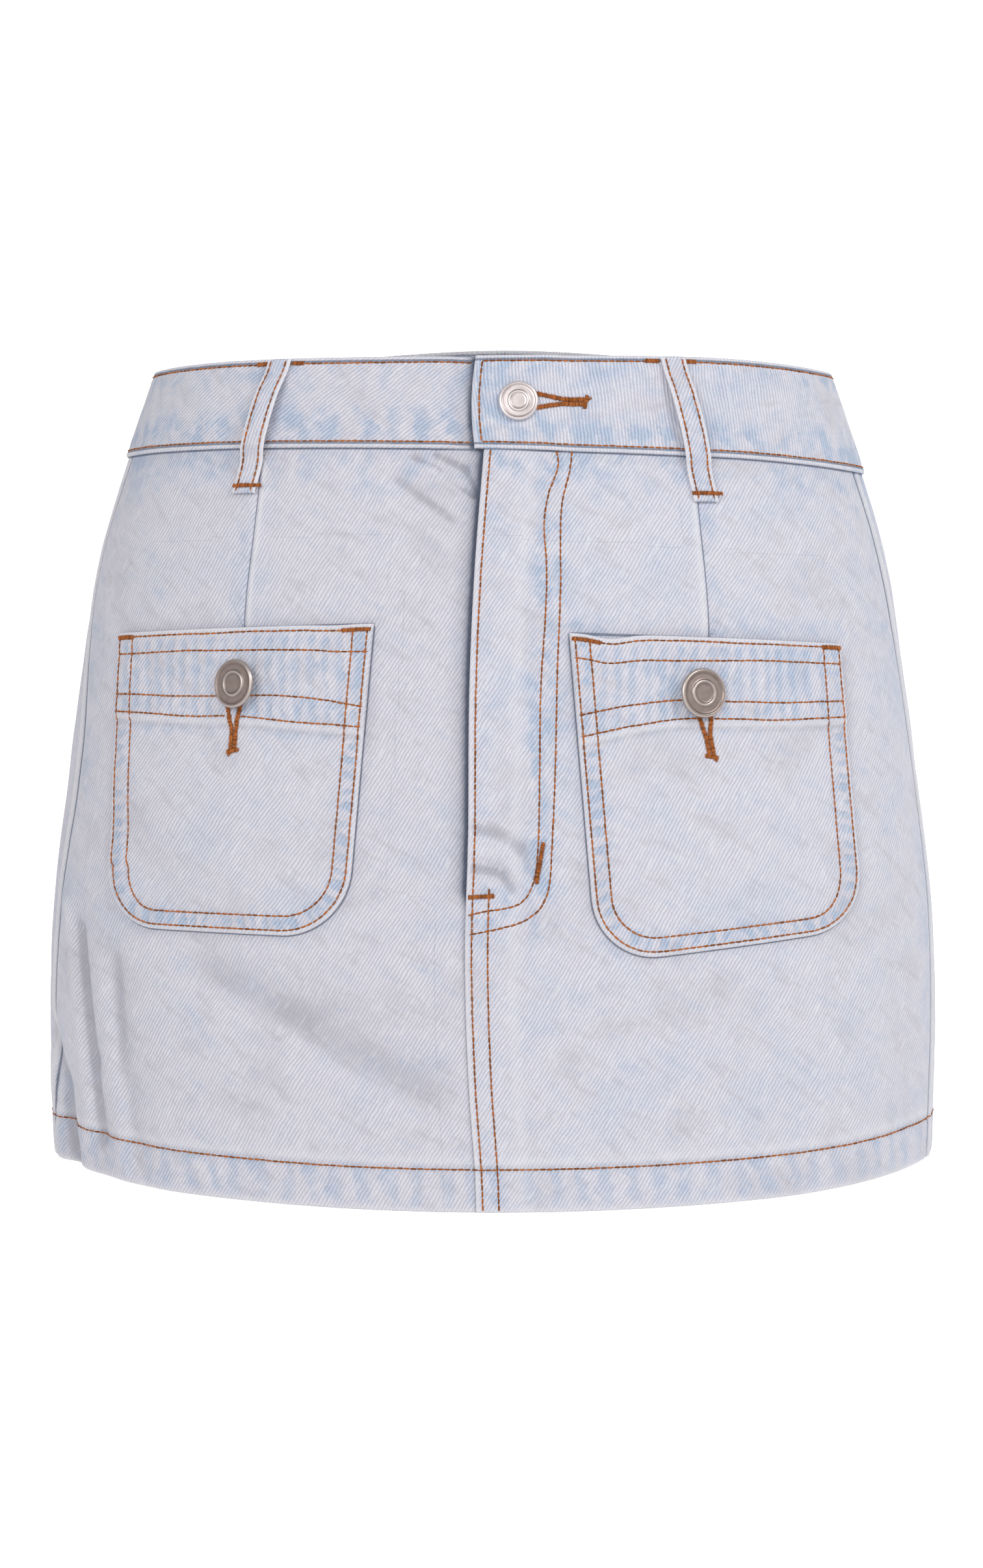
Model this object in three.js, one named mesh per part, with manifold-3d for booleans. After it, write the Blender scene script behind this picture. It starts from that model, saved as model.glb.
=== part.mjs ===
// A denim mini skirt in the hollow form it has when worn.
// Millimetres, +Z up, the front faces -Y and the wearer's left is +X.
// The origin is the centre of the waist opening, level with the waistband's top at centre front.

import * as THREE from 'three';
import { mergeVertices } from 'three/addons/utils/BufferGeometryUtils.js';
import Module from 'manifold-3d';

const wasm = await Module();
wasm.setup();

// Cloth and clearances
const CLOTH = 1.3;
const SEAM_GAP = 0.3;
const SEWN_GAP = 0.4;
const HEM_DEPTH = 18;
const HEM_THICKNESS = 2.6;

// Waistband, and how its left end laps over its right end
const BAND_PROUD = 1.3;
const BAND_THICKNESS = 2.5;
const TAB_PROUD = 2.9;
const TAB_END = 0;
const TAB_BOW = 1.5;
const TAB_EASE_FROM = 28;
const TAB_EASE_TO = 42;
const UNDERLAP_END = 27;
const UNDERLAP_PROUD = -0.2;
const UNDERLAP_DIP_FROM = -14;
const UNDERLAP_DIP_TO = -2;

// Fly: the left front laps over the right front and over the zip
const LAP_PROUD = 2.4;
const LAP_THICKNESS = 1.9;
const LAP_EASE = 46;
const FLY_WIDTH = 34;
const FLY_DIP = 0.4;
const FLY_DIP_WIDTH = 24;
const UNDERLAP_WIDTH = 3.4;
const FLY_CLOSES_FROM = -220;
const FLY_CLOSES_TO = -231;
const FLY_FLAT_BELOW = -264;

// Back darts, as a share of the way round from centre front to centre back
const BACK_DART = 0.73;
const BACK_DART_END_Z = -112;

// Front darts, in millimetres round from centre front
const DART_TOP = 94;
const DART_LOW = 99.5;
const DART_END_Z = -122;
const DART_DEPTH = 1.1;
const DART_HALF_WIDTH = 2.4;

// Pockets
const POCKET_PLAY = 1.1;
const FACING_DEPTH = 42;
const FACING_THICKNESS = 2.4;

// Belt loops
const LOOP_WIDTH = 11;
const LOOP_THICKNESS = 2.2;
const LOOP_STANDOFF = 3.7;

// Buttons
const WAIST_BUTTON_RADIUS = 8.4;
const POCKET_BUTTON_RADIUS = 10.4;
const SHANK_RADIUS = 3;
const NAIL_RADIUS = 1.2;
const HOLE_PLAY = 0.4;

// Horizontal sections of the skirt's outer face
const SECTIONS = [
  { z: -366, halfWidth: 194.5, front: 117.5, back: 117, squareness: 2.28 },
  { z: -320, halfWidth: 196.2, front: 117.5, back: 118.5, squareness: 2.28 },
  { z: -270, halfWidth: 197, front: 117, back: 120.5, squareness: 2.28 },
  { z: -225, halfWidth: 194.8, front: 116, back: 122.5, squareness: 2.28 },
  { z: -180, halfWidth: 189.3, front: 114.5, back: 123.5, squareness: 2.26 },
  { z: -130, halfWidth: 182.8, front: 112, back: 121.5, squareness: 2.24 },
  { z: -80, halfWidth: 175, front: 107, back: 114.5, squareness: 2.2 },
  { z: -40, halfWidth: 163.6, front: 101, back: 105, squareness: 2.16 },
  { z: 4, halfWidth: 148.8, front: 94, back: 94, squareness: 2.12 },
  { z: 26, halfWidth: 142, front: 89, back: 89, squareness: 2.1 },
];

// Heights of the edges, by the share of the way round: -1 and 1 are both centre back
const EDGES = [
  { around: -1.5, waist: 2, bandFoot: -42.5, hem: -341 },
  { around: -1, waist: 22.2, bandFoot: -19, hem: -348 },
  { around: -0.5, waist: 4, bandFoot: -34, hem: -341 },
  { around: -0.25, waist: 2.8, bandFoot: -35.5, hem: -351.6 },
  { around: 0, waist: 1.9, bandFoot: -37.6, hem: -356 },
  { around: 0.25, waist: 2.6, bandFoot: -40.4, hem: -351.6 },
  { around: 0.5, waist: 2, bandFoot: -42.5, hem: -341 },
  { around: 1, waist: 22.2, bandFoot: -19, hem: -348 },
  { around: 1.5, waist: 4, bandFoot: -34, hem: -341 },
];

// The fly's folded edge and the centre front seam below it, in millimetres round from centre front
const FLY_EDGE = [
  { z: -366, across: 2 },
  { z: -340, across: 1.2 },
  { z: -300, across: -1.6 },
  { z: -250, across: -3 },
  { z: -200, across: -1.7 },
  { z: -140, across: -1.4 },
  { z: -90, across: 0.4 },
  { z: -36, across: 4 },
];

// Side seams, as shares of the way round, on the wearer's right and left
const SIDE_SEAMS = [
  { z: -366, right: 0.426, left: 0.445 },
  { z: -290, right: 0.422, left: 0.446 },
  { z: -235, right: 0.412, left: 0.448 },
  { z: -180, right: 0.398, left: 0.449 },
  { z: -149, right: 0.402, left: 0.445 },
  { z: -120, right: 0.418, left: 0.441 },
  { z: -91, right: 0.43, left: 0.434 },
  { z: -36, right: 0.427, left: 0.431 },
];

// Largest folds: a straight run from one end to the other, pressed in (-) or out (+)
const FOLDS = [
  {
    name: 'side_fold_upper', fromAcross: -224, fromZ: -284,
    toAcross: -206, toZ: -312, width: 8, depth: -3.2,
  },
  {
    name: 'side_fold_lower', fromAcross: -207, fromZ: -308,
    toAcross: -195, toZ: -366, width: 9, depth: -4.2,
  },
  { name: 'second_fold', fromAcross: -194, fromZ: -235, toAcross: -168, toZ: -366, width: 11, depth: -1.7 },
  { name: 'third_fold', fromAcross: -164, fromZ: -250, toAcross: -146, toZ: -352, width: 10, depth: -1.3 },
  {
    name: 'left_front_trough', fromAcross: -128, fromZ: -250,
    toAcross: -12, toZ: -312, width: 17, depth: -1.6,
  },
  {
    name: 'left_front_ridge', fromAcross: -120, fromZ: -292,
    toAcross: -40, toZ: -338, width: 20, depth: 1.2,
  },
  {
    name: 'right_front_trough', fromAcross: 86, fromZ: -256,
    toAcross: 140, toZ: -302, width: 15, depth: -1.1,
  },
  {
    name: 'right_front_ridge', fromAcross: 150, fromZ: -262,
    toAcross: 176, toZ: -340, width: 18, depth: 1.3,
  },
  { name: 'fly_drag', fromAcross: -34, fromZ: -44, toAcross: -14, toZ: -56, width: 7, depth: -0.9 },
  { name: 'right_hip_ridge', fromAcross: 150, fromZ: -60, toAcross: 178, toZ: -104, width: 16, depth: 1 },
  {
    name: 'back_right_fold', fromAcross: -318, fromZ: -214,
    toAcross: -292, toZ: -362, width: 14, depth: -2.4,
  },
  { name: 'back_right_ridge', fromAcross: -362, fromZ: -246, toAcross: -350, toZ: -366, width: 18, depth: 2 },
  { name: 'back_left_fold', fromAcross: 336, fromZ: -226, toAcross: 310, toZ: -366, width: 13, depth: -2.6 },
  { name: 'back_left_ridge', fromAcross: 386, fromZ: -196, toAcross: 376, toZ: -350, width: 19, depth: 1.8 },
  { name: 'back_seat_sag', fromAcross: 424, fromZ: -170, toAcross: 482, toZ: -206, width: 16, depth: -1.3 },
];

// Pockets: edges in millimetres round from centre front, on the side that sign gives
const POCKETS = [
  {
    name: 'pocket_right', sign: -1, topInner: 41.5, topOuter: 166.5, bottomInner: 53, bottomOuter: 168.5,
    topInnerZ: -110.8, topOuterZ: -113.8, bottomInnerZ: -242, bottomOuterZ: -239, corner: 28,
    buttonAcross: -102.2, buttonZ: -136.2,
  },
  {
    name: 'pocket_left', sign: 1, topInner: 40, topOuter: 162, bottomInner: 52, bottomOuter: 172,
    topInnerZ: -114.8, topOuterZ: -118.8, bottomInnerZ: -252.5, bottomOuterZ: -238.5, corner: 27,
    buttonAcross: 96.8, buttonZ: -140.2,
  },
];
const WAIST_BUTTON = { across: 18.2, z: -18 };

// Belt loops: where the top and the foot of each sits, as shares of the way round, and how far
// the foot reaches below the waistband
const LOOPS = [
  { name: 'belt_loop_front_right', topAround: -0.2165, footAround: -0.2275, foot: 19.5 },
  { name: 'belt_loop_front_left', topAround: 0.2115, footAround: 0.2195, foot: 19.5 },
  { name: 'belt_loop_back_right', topAround: -0.715, footAround: -0.708, foot: 18 },
  { name: 'belt_loop_back_left', topAround: 0.715, footAround: 0.708, foot: 18 },
  { name: 'belt_loop_back_centre', topAround: 1, footAround: 1, foot: 18 },
];
const LOOP_RISE = [
  { along: 0, standoff: 0.35 },
  { along: 0.1, standoff: 0.5 },
  { along: 0.26, standoff: 2.9 },
  { along: 0.46, standoff: LOOP_STANDOFF },
  { along: 0.62, standoff: 3.1 },
  { along: 0.82, standoff: 0.6 },
  { along: 1, standoff: 0.35 },
];

// Zip: a section across the tapes and the closed chain, and its slider
const ZIP_SECTION = [
  { across: -8, face: -2.1, back: -2.9 },
  { across: 3.7, face: -2.1, back: -2.9 },
  { across: 4.3, face: -0.9, back: -2.9 },
  { across: 9.2, face: -0.9, back: -2.9 },
  { across: 10.3, face: -2.1, back: -2.9 },
  { across: 20, face: -1.3, back: -2.1 },
];
const ZIP_TOP_Z = -42;
const ZIP_FOOT_Z = -217;
const ZIP_AXIS = 6.6;
const CHAIN_TOP_Z = -60;
const SLIDER_Z = -52;
const SLIDER_WIDTH = 5.6;
const SLIDER_HEIGHT = 10;
const SLIDER_PLATE = 0.7;
const SLIDER_FRONT = -1;
const SLIDER_BACK = -3.9;
const SLIDER_POST_WIDTH = 2.2;
const PULL_WIDTH = 4.6;
const PULL_LENGTH = 20;
const PULL_THICKNESS = 0.6;
const PULL_STANDOFF = 0.4;
const LUG_LENGTH = 2.5;
const BITE = 0.05;

// Colours
const DENIM = 0xccccd8;
const DENIM_BAND = 0xd2d2dc;
const PEWTER = 0xcbbdb8;
const DARK_PEWTER = 0x8f7a72;
const ZIP_METAL = 0xb9b4a8;

// Tables and small maths

function curve(table, key, column) {
  const xs = table.map((row) => row[key]);
  const ys = table.map((row) => row[column]);
  const last = xs.length - 1;
  const slopes = ys.map((_, i) => {
    const a = Math.max(i - 1, 0);
    const b = Math.min(i + 1, last);
    return (ys[b] - ys[a]) / (xs[b] - xs[a]);
  });
  return (x) => {
    const at = Math.min(Math.max(x, xs[0]), xs[last]);
    let i = 0;
    while (i < last - 1 && at > xs[i + 1]) i += 1;
    const step = xs[i + 1] - xs[i];
    const t = (at - xs[i]) / step;
    const rise = t * t * (3 - 2 * t);
    const leave = t * (1 - t) * (1 - t);
    const arrive = t * t * (t - 1);
    return ys[i] * (1 - rise) + ys[i + 1] * rise + step * (leave * slopes[i] + arrive * slopes[i + 1]);
  };
}

const halfWidthAt = curve(SECTIONS, 'z', 'halfWidth');
const frontDepthAt = curve(SECTIONS, 'z', 'front');
const backDepthAt = curve(SECTIONS, 'z', 'back');
const squarenessAt = curve(SECTIONS, 'z', 'squareness');
const waistZ = curve(EDGES, 'around', 'waist');
const bandFootZ = curve(EDGES, 'around', 'bandFoot');
const hemZ = curve(EDGES, 'around', 'hem');
const seamRight = curve(SIDE_SEAMS, 'z', 'right');
const seamLeft = curve(SIDE_SEAMS, 'z', 'left');
const sideSeam = (sign, z) => (sign > 0 ? seamLeft(z) : seamRight(z));
const flyEdgeAt = curve(FLY_EDGE, 'z', 'across');
const loopRiseAt = curve(LOOP_RISE, 'along', 'standoff');

const mix = (a, b, t) => a + (b - a) * t;

function ease(from, to, value) {
  const t = Math.min(Math.max((value - from) / (to - from), 0), 1);
  return t * t * (3 - 2 * t);
}

function steps(from, to, count) {
  return Array.from({ length: count }, (_, i) => mix(from, to, i / count));
}

// The skirt's outer face, before its folds

const RING_SAMPLES = 360;
const rings = new Map();

function ringAt(z) {
  const key = z.toFixed(2);
  if (rings.has(key)) return rings.get(key);
  const power = 2 / squarenessAt(z);
  const halfWidth = halfWidthAt(z);
  const ring = { x: [], y: [], arc: [0], half: 0 };
  for (let i = 0; i <= RING_SAMPLES; i += 1) {
    const turn = Math.PI * i / RING_SAMPLES;
    const depth = 2 * i < RING_SAMPLES ? frontDepthAt(z) : backDepthAt(z);
    ring.x.push(halfWidth * Math.abs(Math.sin(turn)) ** power);
    ring.y.push(-Math.sign(Math.cos(turn)) * depth * Math.abs(Math.cos(turn)) ** power);
    if (i > 0) {
      const run = Math.hypot(ring.x[i] - ring.x[i - 1], ring.y[i] - ring.y[i - 1]);
      ring.arc.push(ring.arc[i - 1] + run);
    }
  }
  ring.half = ring.arc[RING_SAMPLES];
  rings.set(key, ring);
  return ring;
}

const halfRound = (z) => ringAt(z).half;

function faceAt(around, z) {
  let share = around;
  while (share > 1) share -= 2;
  while (share < -1) share += 2;
  const ring = ringAt(z);
  const target = Math.abs(share) * ring.half;
  let low = 0;
  let high = RING_SAMPLES;
  while (high - low > 1) {
    const middle = (low + high) >> 1;
    if (ring.arc[middle] > target) high = middle;
    else low = middle;
  }
  const t = (target - ring.arc[low]) / (ring.arc[high] - ring.arc[low]);
  const x = mix(ring.x[low], ring.x[high], t) * (share < 0 ? -1 : 1);
  return new THREE.Vector3(x, mix(ring.y[low], ring.y[high], t), z);
}

function outwardAt(around, z) {
  const reach = 0.004;
  const rise = 2;
  const along = faceAt(around + reach, z).sub(faceAt(around - reach, z));
  const up = faceAt(around, z + rise).sub(faceAt(around, z - rise));
  return along.cross(up).normalize();
}

// Folds, as a push along the outward direction

function foldPush(fold, across, z) {
  const runAcross = fold.toAcross - fold.fromAcross;
  const runZ = fold.toZ - fold.fromZ;
  const length = Math.hypot(runAcross, runZ);
  const offAcross = across - fold.fromAcross;
  const offZ = z - fold.fromZ;
  const along = (offAcross * runAcross + offZ * runZ) / length;
  const beside = (offAcross * runZ - offZ * runAcross) / length;
  const fade = ease(-fold.width, fold.width, along) * ease(length + fold.width, length - fold.width, along);
  return fold.depth * fade * Math.exp(-((beside / fold.width) ** 2));
}

function push(around, z) {
  const across = around * halfRound(z);
  return FOLDS.reduce((total, fold) => total + foldPush(fold, across, z), 0);
}

function cloth(around, z, out) {
  return faceAt(around, z).addScaledVector(outwardAt(around, z), out + push(around, z));
}

const roundFrom = (across, z) => across / halfRound(z);

// A closed wall from a grid: place(row, column) gives its outer and inner points

function wall(rowCount, columnCount, place) {
  const positions = [];
  const index = [];
  for (const side of ['outer', 'inner']) {
    for (let r = 0; r < rowCount; r += 1) {
      for (let c = 0; c < columnCount; c += 1) positions.push(...place(r, c)[side].toArray());
    }
  }
  const inner = rowCount * columnCount;
  const at = (r, c) => r * columnCount + c;
  const quad = (a, b, c, d) => index.push(a, b, c, a, c, d);
  for (let r = 0; r < rowCount - 1; r += 1) {
    for (let c = 0; c < columnCount - 1; c += 1) {
      quad(at(r, c), at(r + 1, c), at(r + 1, c + 1), at(r, c + 1));
      quad(inner + at(r, c), inner + at(r, c + 1), inner + at(r + 1, c + 1), inner + at(r + 1, c));
    }
  }
  const border = [];
  for (let c = 0; c < columnCount - 1; c += 1) border.push(at(0, c));
  for (let r = 0; r < rowCount - 1; r += 1) border.push(at(r, columnCount - 1));
  for (let c = columnCount - 1; c > 0; c -= 1) border.push(at(rowCount - 1, c));
  for (let r = rowCount - 1; r > 0; r -= 1) border.push(at(r, 0));
  border.forEach((a, i) => {
    const b = border[(i + 1) % border.length];
    quad(a, b, inner + b, inner + a);
  });
  const geometry = new THREE.BufferGeometry();
  geometry.setAttribute('position', new THREE.Float32BufferAttribute(positions, 3));
  geometry.setIndex(index);
  return geometry;
}

function clothWall(rowCount, columnCount, describe) {
  return wall(rowCount, columnCount, (r, c) => {
    const { around, z, out, thickness } = describe(r, c);
    return { outer: cloth(around, z, out), inner: cloth(around, z, out - thickness) };
  });
}

// Cutting and joining

function toManifold(geometry) {
  return new wasm.Manifold(new wasm.Mesh({
    numProp: 3,
    vertProperties: new Float32Array(geometry.getAttribute('position').array),
    triVerts: new Uint32Array(geometry.getIndex().array),
  }));
}

function toGeometry(solid) {
  const mesh = solid.getMesh();
  const geometry = new THREE.BufferGeometry();
  geometry.setAttribute('position', new THREE.Float32BufferAttribute(mesh.vertProperties, 3));
  geometry.setIndex(Array.from(mesh.triVerts));
  return geometry;
}

// A frame on the cloth: X round towards the wearer's left, Y outwards, Z down the cloth

function frameOn(around, z) {
  const outward = outwardAt(around, z);
  const up = new THREE.Vector3(0, 0, 1).addScaledVector(outward, -outward.z).normalize();
  const right = new THREE.Vector3().crossVectors(up, outward);
  return new THREE.Matrix4().makeBasis(right, outward, up.negate()).setPosition(cloth(around, z, 0));
}

// Turned solids, from radius and height pairs that start and end on the axis

const TURN_STEPS = 18;

function merged(geometry) {
  geometry.deleteAttribute('normal');
  geometry.deleteAttribute('uv');
  const shared = mergeVertices(geometry, 1e-5);
  const index = shared.getIndex().array;
  const kept = [];
  for (let i = 0; i < index.length; i += 3) {
    const [a, b, c] = index.slice(i, i + 3);
    if (a !== b && b !== c && c !== a) kept.push(a, b, c);
  }
  shared.setIndex(kept);
  return shared;
}

function turned(profile) {
  const points = profile.map(([radius, height]) => new THREE.Vector2(radius, height));
  return merged(new THREE.LatheGeometry(points, TURN_STEPS));
}

const BORE_REACH = 8;

function drilled(geometry, frame, radius) {
  const profile = [[0, -BORE_REACH], [radius, -BORE_REACH], [radius, BORE_REACH], [0, BORE_REACH]];
  const bit = turned(profile).applyMatrix4(frame);
  return toGeometry(toManifold(geometry).subtract(toManifold(bit)));
}

function block(frame, width, from, to, top, foot) {
  const geometry = merged(new THREE.BoxGeometry(width, to - from, foot - top));
  geometry.translate(0, (from + to) / 2, (top + foot) / 2);
  return toManifold(geometry.applyMatrix4(frame));
}

// The group and its pieces

const skirt = new THREE.Group();
skirt.name = 'denim_skirt';

function add(name, geometry, color, roughness = 0.92, metalness = 0) {
  const mesh = new THREE.Mesh(geometry, new THREE.MeshStandardMaterial({ color, roughness, metalness }));
  mesh.name = name;
  skirt.add(mesh);
}

// Panels: rows run from the waistband's foot to the hem, given by their heights at centre front

const ROW_HEIGHTS = [
  -48, -60, -76, -92, -110, -129, -148, -167, -186, -205, -220, -231, -247, -264, -279, -294, -309, -324,
];
const PANEL_TOP = bandFootZ(0) - SEAM_GAP;
const HEM_FOLD_ROWS = [hemZ(0) + HEM_DEPTH + 0.2, hemZ(0) + HEM_DEPTH - 0.2, hemZ(0) + 9, hemZ(0)];
const PANEL_ROWS = [PANEL_TOP, ...ROW_HEIGHTS, ...HEM_FOLD_ROWS];
const rowShare = (z) => (z - PANEL_TOP) / (hemZ(0) - PANEL_TOP);

function panelZ(around, share) {
  return mix(bandFootZ(around) - SEAM_GAP, hemZ(around), share);
}

function panelPlace(share, acrossAt) {
  let z = mix(PANEL_TOP, hemZ(0), share);
  let around = 0;
  for (let pass = 0; pass < 3; pass += 1) {
    around = roundFrom(acrossAt(z), z);
    z = panelZ(around, share);
  }
  return { around, z };
}

const inHem = (share) => share > rowShare(hemZ(0) + HEM_DEPTH);

function dartPush(beside, around, z, endZ) {
  const groove = Math.max(0, 1 - Math.abs(beside) / DART_HALF_WIDTH);
  const below = bandFootZ(around) - z;
  return -DART_DEPTH * groove * ease(0, 6, below) * ease(endZ, endZ + 30, z);
}

function dartAt(z) {
  return mix(DART_TOP, DART_LOW, ease(-40, -115, z));
}

// How far the left front stands out over the fly
function lapProud(across, z) {
  const beside = across - flyEdgeAt(z);
  return LAP_PROUD * (1 - ease(0, LAP_EASE, beside)) * ease(FLY_FLAT_BELOW, FLY_CLOSES_TO, z);
}

const lapStart = (z) => flyEdgeAt(z) + SEAM_GAP / 2;

function underlapEnd(z) {
  const closed = ease(FLY_CLOSES_FROM, FLY_CLOSES_TO, z);
  return flyEdgeAt(z) + mix(UNDERLAP_WIDTH, -SEAM_GAP / 2, closed);
}

const FLY_COLUMNS = [0, 3, 10, 18, 26, FLY_WIDTH];

// Columns of a front panel, as distances from centre front, on the side that sign gives
function frontColumns(z, sign) {
  const start = sign > 0 ? lapStart(z) : -underlapEnd(z);
  const dart = dartAt(z);
  const seam = sideSeam(sign, z) * halfRound(z) - SEAM_GAP / 2;
  return [
    ...FLY_COLUMNS.map((offset) => start + offset),
    ...steps(start + LAP_EASE, dart - DART_HALF_WIDTH, 4),
    dart - DART_HALF_WIDTH,
    dart,
    ...steps(dart + DART_HALF_WIDTH, seam, 9),
    seam,
  ];
}

const FRONT_COLUMN_COUNT = frontColumns(-100, 1).length;

function frontPanel(sign) {
  return clothWall(PANEL_ROWS.length, FRONT_COLUMN_COUNT, (r, c) => {
    const share = rowShare(PANEL_ROWS[r]);
    const column = sign > 0 ? c : FRONT_COLUMN_COUNT - 1 - c;
    const { around, z } = panelPlace(share, (height) => sign * frontColumns(height, sign)[column]);
    const across = around * halfRound(z);
    const open = ease(FLY_FLAT_BELOW, FLY_CLOSES_TO, z);
    let out = dartPush(Math.abs(across) - dartAt(z), around, z, DART_END_Z);
    let thickness = inHem(share) ? HEM_THICKNESS : CLOTH;
    if (sign > 0) {
      out += lapProud(across, z);
      thickness += (LAP_THICKNESS - CLOTH) * open * (1 - ease(FLY_WIDTH, LAP_EASE, across));
    } else {
      out -= FLY_DIP * open * (1 - ease(0, FLY_DIP_WIDTH, flyEdgeAt(z) - across));
    }
    return { around, z, out, thickness };
  });
}

function backColumns(z, sign) {
  const half = halfRound(z);
  const seam = sideSeam(sign, z) * half + SEAM_GAP / 2;
  const dart = BACK_DART * half;
  return [
    ...steps(seam, dart - DART_HALF_WIDTH, 8),
    dart - DART_HALF_WIDTH,
    dart,
    ...steps(dart + DART_HALF_WIDTH, half - SEAM_GAP / 2, 8),
    half - SEAM_GAP / 2,
  ];
}

const BACK_COLUMN_COUNT = backColumns(-100, 1).length;

function backPanel(sign) {
  return clothWall(PANEL_ROWS.length, BACK_COLUMN_COUNT, (r, c) => {
    const share = rowShare(PANEL_ROWS[r]);
    const column = sign > 0 ? c : BACK_COLUMN_COUNT - 1 - c;
    const { around, z } = panelPlace(share, (height) => sign * backColumns(height, sign)[column]);
    const beside = (Math.abs(around) - BACK_DART) * halfRound(z);
    const out = dartPush(beside, around, z, BACK_DART_END_Z);
    return { around, z, out, thickness: inHem(share) ? HEM_THICKNESS : CLOTH };
  });
}

// Waistband halves, seamed at centre back

const BAND_SHARES = [0, 0.3, 0.6, 0.85, 1];
const BAND_END_COLUMNS = 8;
const BAND_COLUMNS = 26;

function bandZ(around, share) {
  return mix(waistZ(around), bandFootZ(around), share);
}

function bandHalf(sign) {
  const count = BAND_END_COLUMNS + BAND_COLUMNS + 1;
  return clothWall(BAND_SHARES.length, count, (r, c) => {
    const column = sign > 0 ? c : count - 1 - c;
    const share = BAND_SHARES[r];
    const z = bandZ(0, share);
    const bow = TAB_BOW * Math.sin(Math.PI * share);
    const endAcross = sign > 0 ? TAB_END - bow : -UNDERLAP_END;
    const easedAcross = sign > 0 ? TAB_EASE_TO : -UNDERLAP_DIP_FROM;
    const endAround = roundFrom(endAcross, z);
    const easedAround = roundFrom(easedAcross, z);
    const backAround = 1 - roundFrom(SEAM_GAP / 2, bandZ(1, share));
    const distance = column < BAND_END_COLUMNS
      ? mix(endAround, easedAround, column / BAND_END_COLUMNS)
      : mix(easedAround, backAround, (column - BAND_END_COLUMNS) / BAND_COLUMNS);
    const around = sign * distance;
    const height = bandZ(around, share);
    const across = around * halfRound(height);
    const out = sign > 0
      ? mix(TAB_PROUD, BAND_PROUD, ease(TAB_EASE_FROM, TAB_EASE_TO, across))
      : mix(BAND_PROUD, UNDERLAP_PROUD, ease(UNDERLAP_DIP_FROM, UNDERLAP_DIP_TO, across));
    return { around, z: height, out, thickness: BAND_THICKNESS };
  });
}

// Patch pockets: the round corners take their own rows

const POCKET_COLUMNS = 13;
const CORNER_TURNS = [22.5, 45, 67.5, 90];
const POCKET_MAIN_ROWS = [55, 70, 85, 97];

function pocketRows(height, corner) {
  const straight = height - corner;
  const upper = [0, 9, 18, 27, 35, FACING_DEPTH - 0.2, FACING_DEPTH + 0.2, ...POCKET_MAIN_ROWS];
  const depths = [...upper.filter((depth) => depth < straight - 4), straight];
  const rows = depths.map((depth) => ({ depth, inset: 0 }));
  for (const turn of CORNER_TURNS) {
    const angle = turn * Math.PI / 180;
    rows.push({ depth: straight + corner * Math.sin(angle), inset: corner * (1 - Math.cos(angle)) });
  }
  return rows;
}

// How far the pocket's inner face stands off the panel
function pocketPlay(beside, down) {
  return SEWN_GAP + POCKET_PLAY * Math.sin(Math.PI * beside) * (1 - down) ** 1.5;
}

function pocketThickness(depth) {
  return depth < FACING_DEPTH ? FACING_THICKNESS : CLOTH;
}

function pocketWall(pocket) {
  const height = pocket.topInnerZ - pocket.bottomInnerZ;
  const rows = pocketRows(height, pocket.corner);
  return clothWall(rows.length, POCKET_COLUMNS, (r, c) => {
    const { depth, inset } = rows[r];
    const down = depth / height;
    const beside = pocket.sign > 0 ? c / (POCKET_COLUMNS - 1) : 1 - c / (POCKET_COLUMNS - 1);
    const inner = mix(pocket.topInner, pocket.bottomInner, down) + inset;
    const outer = mix(pocket.topOuter, pocket.bottomOuter, down) - inset;
    const top = mix(pocket.topInnerZ, pocket.topOuterZ, beside);
    const foot = mix(pocket.bottomInnerZ, pocket.bottomOuterZ, beside);
    const z = mix(top, foot, down);
    const around = roundFrom(pocket.sign * mix(inner, outer, beside), z);
    const thickness = pocketThickness(depth);
    return { around, z, out: pocketPlay(beside, down) + thickness, thickness };
  });
}

// Belt loops

const LOOP_ROWS = [0, 0.06, 0.13, 0.22, 0.32, 0.44, 0.56, 0.66, 0.74, 0.82, 0.9, 1];
const LOOP_ACROSS = [-0.5, 0, 0.5];
const LOOP_TOP_DROP = 0.8;

function loopWall(loop) {
  const topZ = waistZ(loop.topAround) - LOOP_TOP_DROP;
  const footZ = bandFootZ(loop.footAround) - loop.foot;
  return clothWall(LOOP_ROWS.length, LOOP_ACROSS.length, (r, c) => {
    const along = LOOP_ROWS[r];
    const z = mix(topZ, footZ, along);
    const middle = mix(loop.topAround, loop.footAround, along);
    const around = middle + roundFrom(LOOP_ACROSS[c] * LOOP_WIDTH, z);
    const belowBand = bandFootZ(middle) - z;
    const under = BAND_PROUD * (1 - ease(0.8, 6, belowBand));
    return { around, z, out: under + loopRiseAt(along) + LOOP_THICKNESS, thickness: LOOP_THICKNESS };
  });
}

// Shank buttons: cap and shank outside, nail and its head through the layer behind

const CAP_PROFILE = [
  { across: 0.88, rise: 0 },
  { across: 1, rise: 0.7 },
  { across: 0.98, rise: 1.5 },
  { across: 0.89, rise: 2 },
  { across: 0.79, rise: 1.7 },
  { across: 0.58, rise: 1.75 },
  { across: 0.5, rise: 2.15 },
  { across: 0.41, rise: 1.7 },
  { across: 0, rise: 1.6 },
];
const NAIL_HEAD_RADIUS = 4.3;
const NAIL_HEAD_THICKNESS = 1;

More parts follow.
